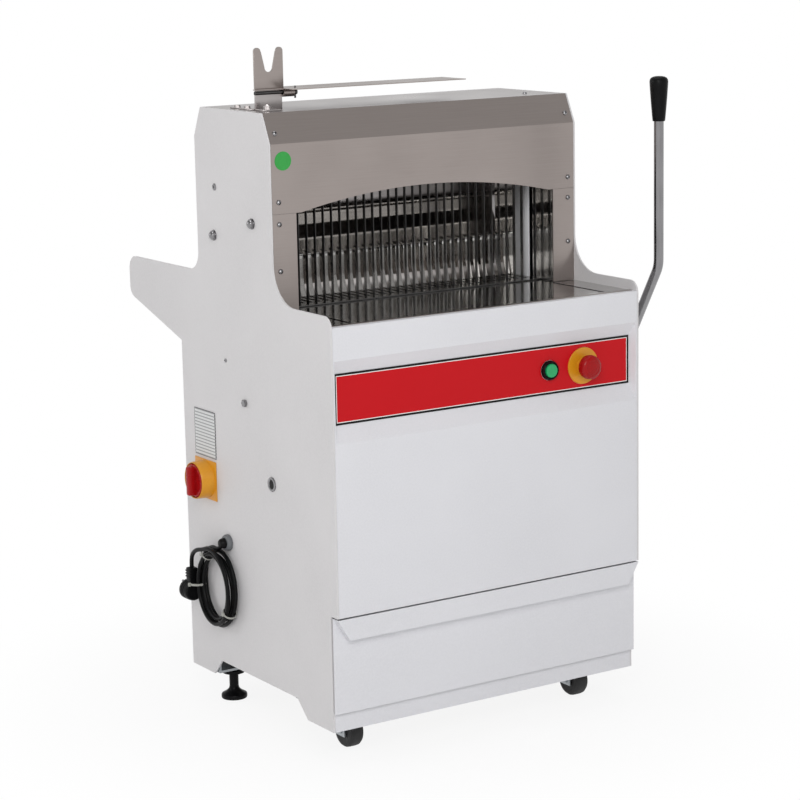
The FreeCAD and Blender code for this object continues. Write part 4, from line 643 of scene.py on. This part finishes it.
# the hinge pin is dark steel, and its dark finish is also painted shade for the dark line along the hinge
# below the fork
settle(joined("forkHinge", hinge), "bluedBladeSteel", "cabinet")

# fork: sheet with two round-ended prongs beside a notch that narrows downwards
forkSet = {"x": -249.5, "half": 26.5, "front": 253.5, "back": 256.5, "low": 1060, "prong": 1119.8, "tip": 6.2,
           "notchZ": 1094.5, "notchLow": 7.6, "notchHigh": 15.4, "notchTop": 1126, "upperFrom": 10, "lift": 2,
           "over": 2, "square": 0.01}
thick = forkSet["back"] - forkSet["front"]
forkCorners = ((-forkSet["half"], forkSet["front"], forkSet["low"]),
               (forkSet["half"], forkSet["back"], forkSet["prong"]))
forkMiddle = (forkSet["x"], 0, 0)
fork = blockAt("forkPlate", forkMiddle, forkCorners, forkSet["square"])
for sign in (-1, 1):
    place = moved(forkMiddle, (sign * (forkSet["half"] - forkSet["tip"]), forkSet["front"], forkSet["prong"]))
    carve(fork, turned("forkTip", [(0, forkSet["tip"]), (thick, forkSet["tip"])], place, "y"), "UNION")
notchCorners = ((-1, forkSet["front"] - forkSet["over"], forkSet["notchZ"]),
                (1, forkSet["back"] + forkSet["over"], forkSet["notchTop"]))
wedge = blockAt("forkNotch", forkMiddle, notchCorners, forkSet["square"])
for vertex in wedge.data.vertices:
    off = vertex.co - at(forkSet["x"], 0, forkSet["notchZ"])
    upper = off.z > forkSet["upperFrom"] / 1000
    width = forkSet["notchHigh"] if upper else forkSet["notchLow"]
    vertex.co.x += off.x * (width - 1)
    vertex.co.z += forkSet["lift"] / 1000 if upper else 0
carve(fork, wedge, "DIFFERENCE")
roundEnd = [(0, forkSet["notchLow"]), (thick + 2 * forkSet["over"], forkSet["notchLow"])]
roundPlace = moved(forkMiddle, (0, forkSet["front"] - forkSet["over"], forkSet["notchZ"]))
carve(fork, turned("forkRound", roundEnd, roundPlace, "y"), "DIFFERENCE")
settle(roundEdges(fork, 0.5), "brushedStainless", "bag_fork", ["fork_plate"])

# comb tips: each finger ends in a small rolled edge with a hook to the back; a dark strip on the comb sheet's
# lower front edge is painted shade
combSet = {
    "pitch": 16, "count": 32, "stem": ((-252.5, 308.2, 768), (-243.5, 310, 780)),
    "bead": (-252.5, 309, 780), "beadRings": [(0, 1.7), (0.5, 2.2), (8.5, 2.2), (9, 1.7)],
    "hook": ((-251, 309, 779), (-245, 320, 780.6)), "hookY": 309, "hookSlope": 0.4,
    "edge": ((-251.5, 211.2, 709.4), (251.5, 211.9, 711.4)),
}
stem = block("combStem", *combSet["stem"], 0.3)
bead = turned("combBead", combSet["beadRings"], combSet["bead"], "x", 16)
hook = block("combHook", *combSet["hook"], 0.3)
hookStart = at(0, combSet["hookY"], 0).y
for vertex in hook.data.vertices:
    vertex.co.z += max(0, vertex.co.y - hookStart) * combSet["hookSlope"]
tips = joined("combTips", [stem, bead, hook])
repeat = tips.modifiers.new("repeat", "ARRAY")
repeat.count = combSet["count"]
repeat.use_relative_offset = False
repeat.use_constant_offset = True
repeat.constant_offset_displace = (combSet["pitch"] / 1000, 0, 0)
takeUp(tips)
bpy.ops.object.modifier_apply(modifier="repeat")
settle(tips, "polishedStainless", "pusher")
# painted shade: a thin dark strip along the comb's lower front edge
settle(block("combEdgePaintedShade", *combSet["edge"], 0.1), "bluedBladeSteel", "pusher")

# trims by the opening: doubled hem at the bed's front and pale cover strips behind the blades
trimSet = {
    "hem": ((-296, 12.6, 708.9), (296, 19.5, 709.7)),
    "strips": [((-254, 244, 711), (-253.1, 284, 903)), ((253.1, 244, 711), (254, 284, 903))],
}
settle(block("bedHem", *trimSet["hem"], 0.3), "brushedStainless", "cabinet")
strips = [block("wallStrip", *corners, 0.3) for corners in trimSet["strips"]]
settle(joined("wallStrips", strips), "whiteStrip", "cabinet")
print("bracket and trims made")

# floor: matt paint near the machine that fades into even white
floorSet = {"size": 16, "drop": 0.0005, "fadeStart": 0.35, "fadeEnd": 0.85, "glow": 0.88, "paint": "f7f7f7"}
clearSelection()
bpy.ops.mesh.primitive_plane_add(size=floorSet["size"], location=(0, 0, -floorSet["drop"]))
floor = bpy.context.object
floor.name = "studioFloor"
floorMat = bpy.data.materials.new("matteFloorPaint")
floorMat.use_nodes = True
tree = floorMat.node_tree
tree.nodes.clear()
rays = addNode(tree, "ShaderNodeLightPath").outputs
seen = addNode(tree, "ShaderNodeMath", {"operation": "MAXIMUM"},
               {0: rays["Is Camera Ray"], 1: rays["Is Glossy Ray"]}).outputs[0]
spot = addNode(tree, "ShaderNodeTexCoord").outputs["Object"]
away = addNode(tree, "ShaderNodeVectorMath", {"operation": "LENGTH"}, {0: spot}).outputs["Value"]
fadeSettings = {"From Min": floorSet["fadeStart"], "From Max": floorSet["fadeEnd"],
                "To Min": floorSet["glow"], "interpolation_type": "SMOOTHSTEP"}
fade = addNode(tree, "ShaderNodeMapRange", fadeSettings, {"Value": away}).outputs[0]
factor = addNode(tree, "ShaderNodeMath", {"operation": "MULTIPLY"}, {0: fade, 1: seen}).outputs[0]
paint = addNode(tree, "ShaderNodeBsdfDiffuse", {"Color": linear(floorSet["paint"])}).outputs[0]
glow = addNode(tree, "ShaderNodeEmission", {"Color": (1, 1, 1, 1), "Strength": 1.0}).outputs[0]
blend = addNode(tree, "ShaderNodeMixShader", None, {0: factor, 1: paint, 2: glow}).outputs[0]
addNode(tree, "ShaderNodeOutputMaterial", None, {"Surface": blend})
dress(floor, floorMat)

# the studio is white at eye level and dimmer overhead, and plain white where it is seen
skySet = {"level": 1.0, "overhead": 0.4, "dimFrom": 0.8, "diffuseShare": 0.8}
world = bpy.data.worlds.new("studio")
bpy.context.scene.world = world
world.use_nodes = True
tree = world.node_tree
tree.nodes.clear()
rays = addNode(tree, "ShaderNodeLightPath").outputs
seen = addNode(tree, "ShaderNodeMath", {"operation": "MAXIMUM"},
               {0: rays["Is Camera Ray"], 1: rays["Is Transmission Ray"]}).outputs[0]
skyPlace = addNode(tree, "ShaderNodeTexCoord").outputs["Generated"]
height = addNode(tree, "ShaderNodeSeparateXYZ", None, {0: skyPlace}).outputs[2]
slopeSettings = {"From Max": skySet["dimFrom"], "To Min": skySet["level"], "To Max": skySet["overhead"]}
slope = addNode(tree, "ShaderNodeMapRange", slopeSettings, {"Value": height}).outputs[0]
share = addNode(tree, "ShaderNodeMapRange", {"To Min": skySet["diffuseShare"], "To Max": 1.0},
                {"Value": rays["Is Glossy Ray"]}).outputs[0]
dimmed = addNode(tree, "ShaderNodeMath", {"operation": "MULTIPLY"}, {0: slope, 1: share}).outputs[0]
level = addNode(tree, "ShaderNodeMapRange", {"To Max": 1.0}, {"Value": seen, "To Min": dimmed}).outputs[0]
sky = addNode(tree, "ShaderNodeBackground", {"Color": (1, 1, 1, 1)}, {"Strength": level}).outputs[0]
addNode(tree, "ShaderNodeOutputWorld", None, {"Surface": sky})

lamps = {
    "keyLamp": dict(place=(-1.55, -2.45, 1.95), size=1.4, watts=34.5),
    "sideLamp": dict(place=(-2.4, 1.5, 1.7), size=0.8, watts=8.5),
    "topLamp": dict(place=(0.2, 0.4, 4.2), size=2.6, watts=34),
}
lampTarget = Vector((0, 0, 0.6))
for name, lamp in lamps.items():
    data = bpy.data.lights.new(name, "AREA")
    data.size = lamp["size"]
    data.energy = lamp["watts"]
    obj = bpy.data.objects.new(name, data)
    obj.location = lamp["place"]
    obj.rotation_euler = (lampTarget - obj.location).to_track_quat("-Z", "Y").to_euler()
    bpy.context.scene.collection.objects.link(obj)
bpy.context.scene.view_settings.view_transform = "Standard"
print("stage lit")
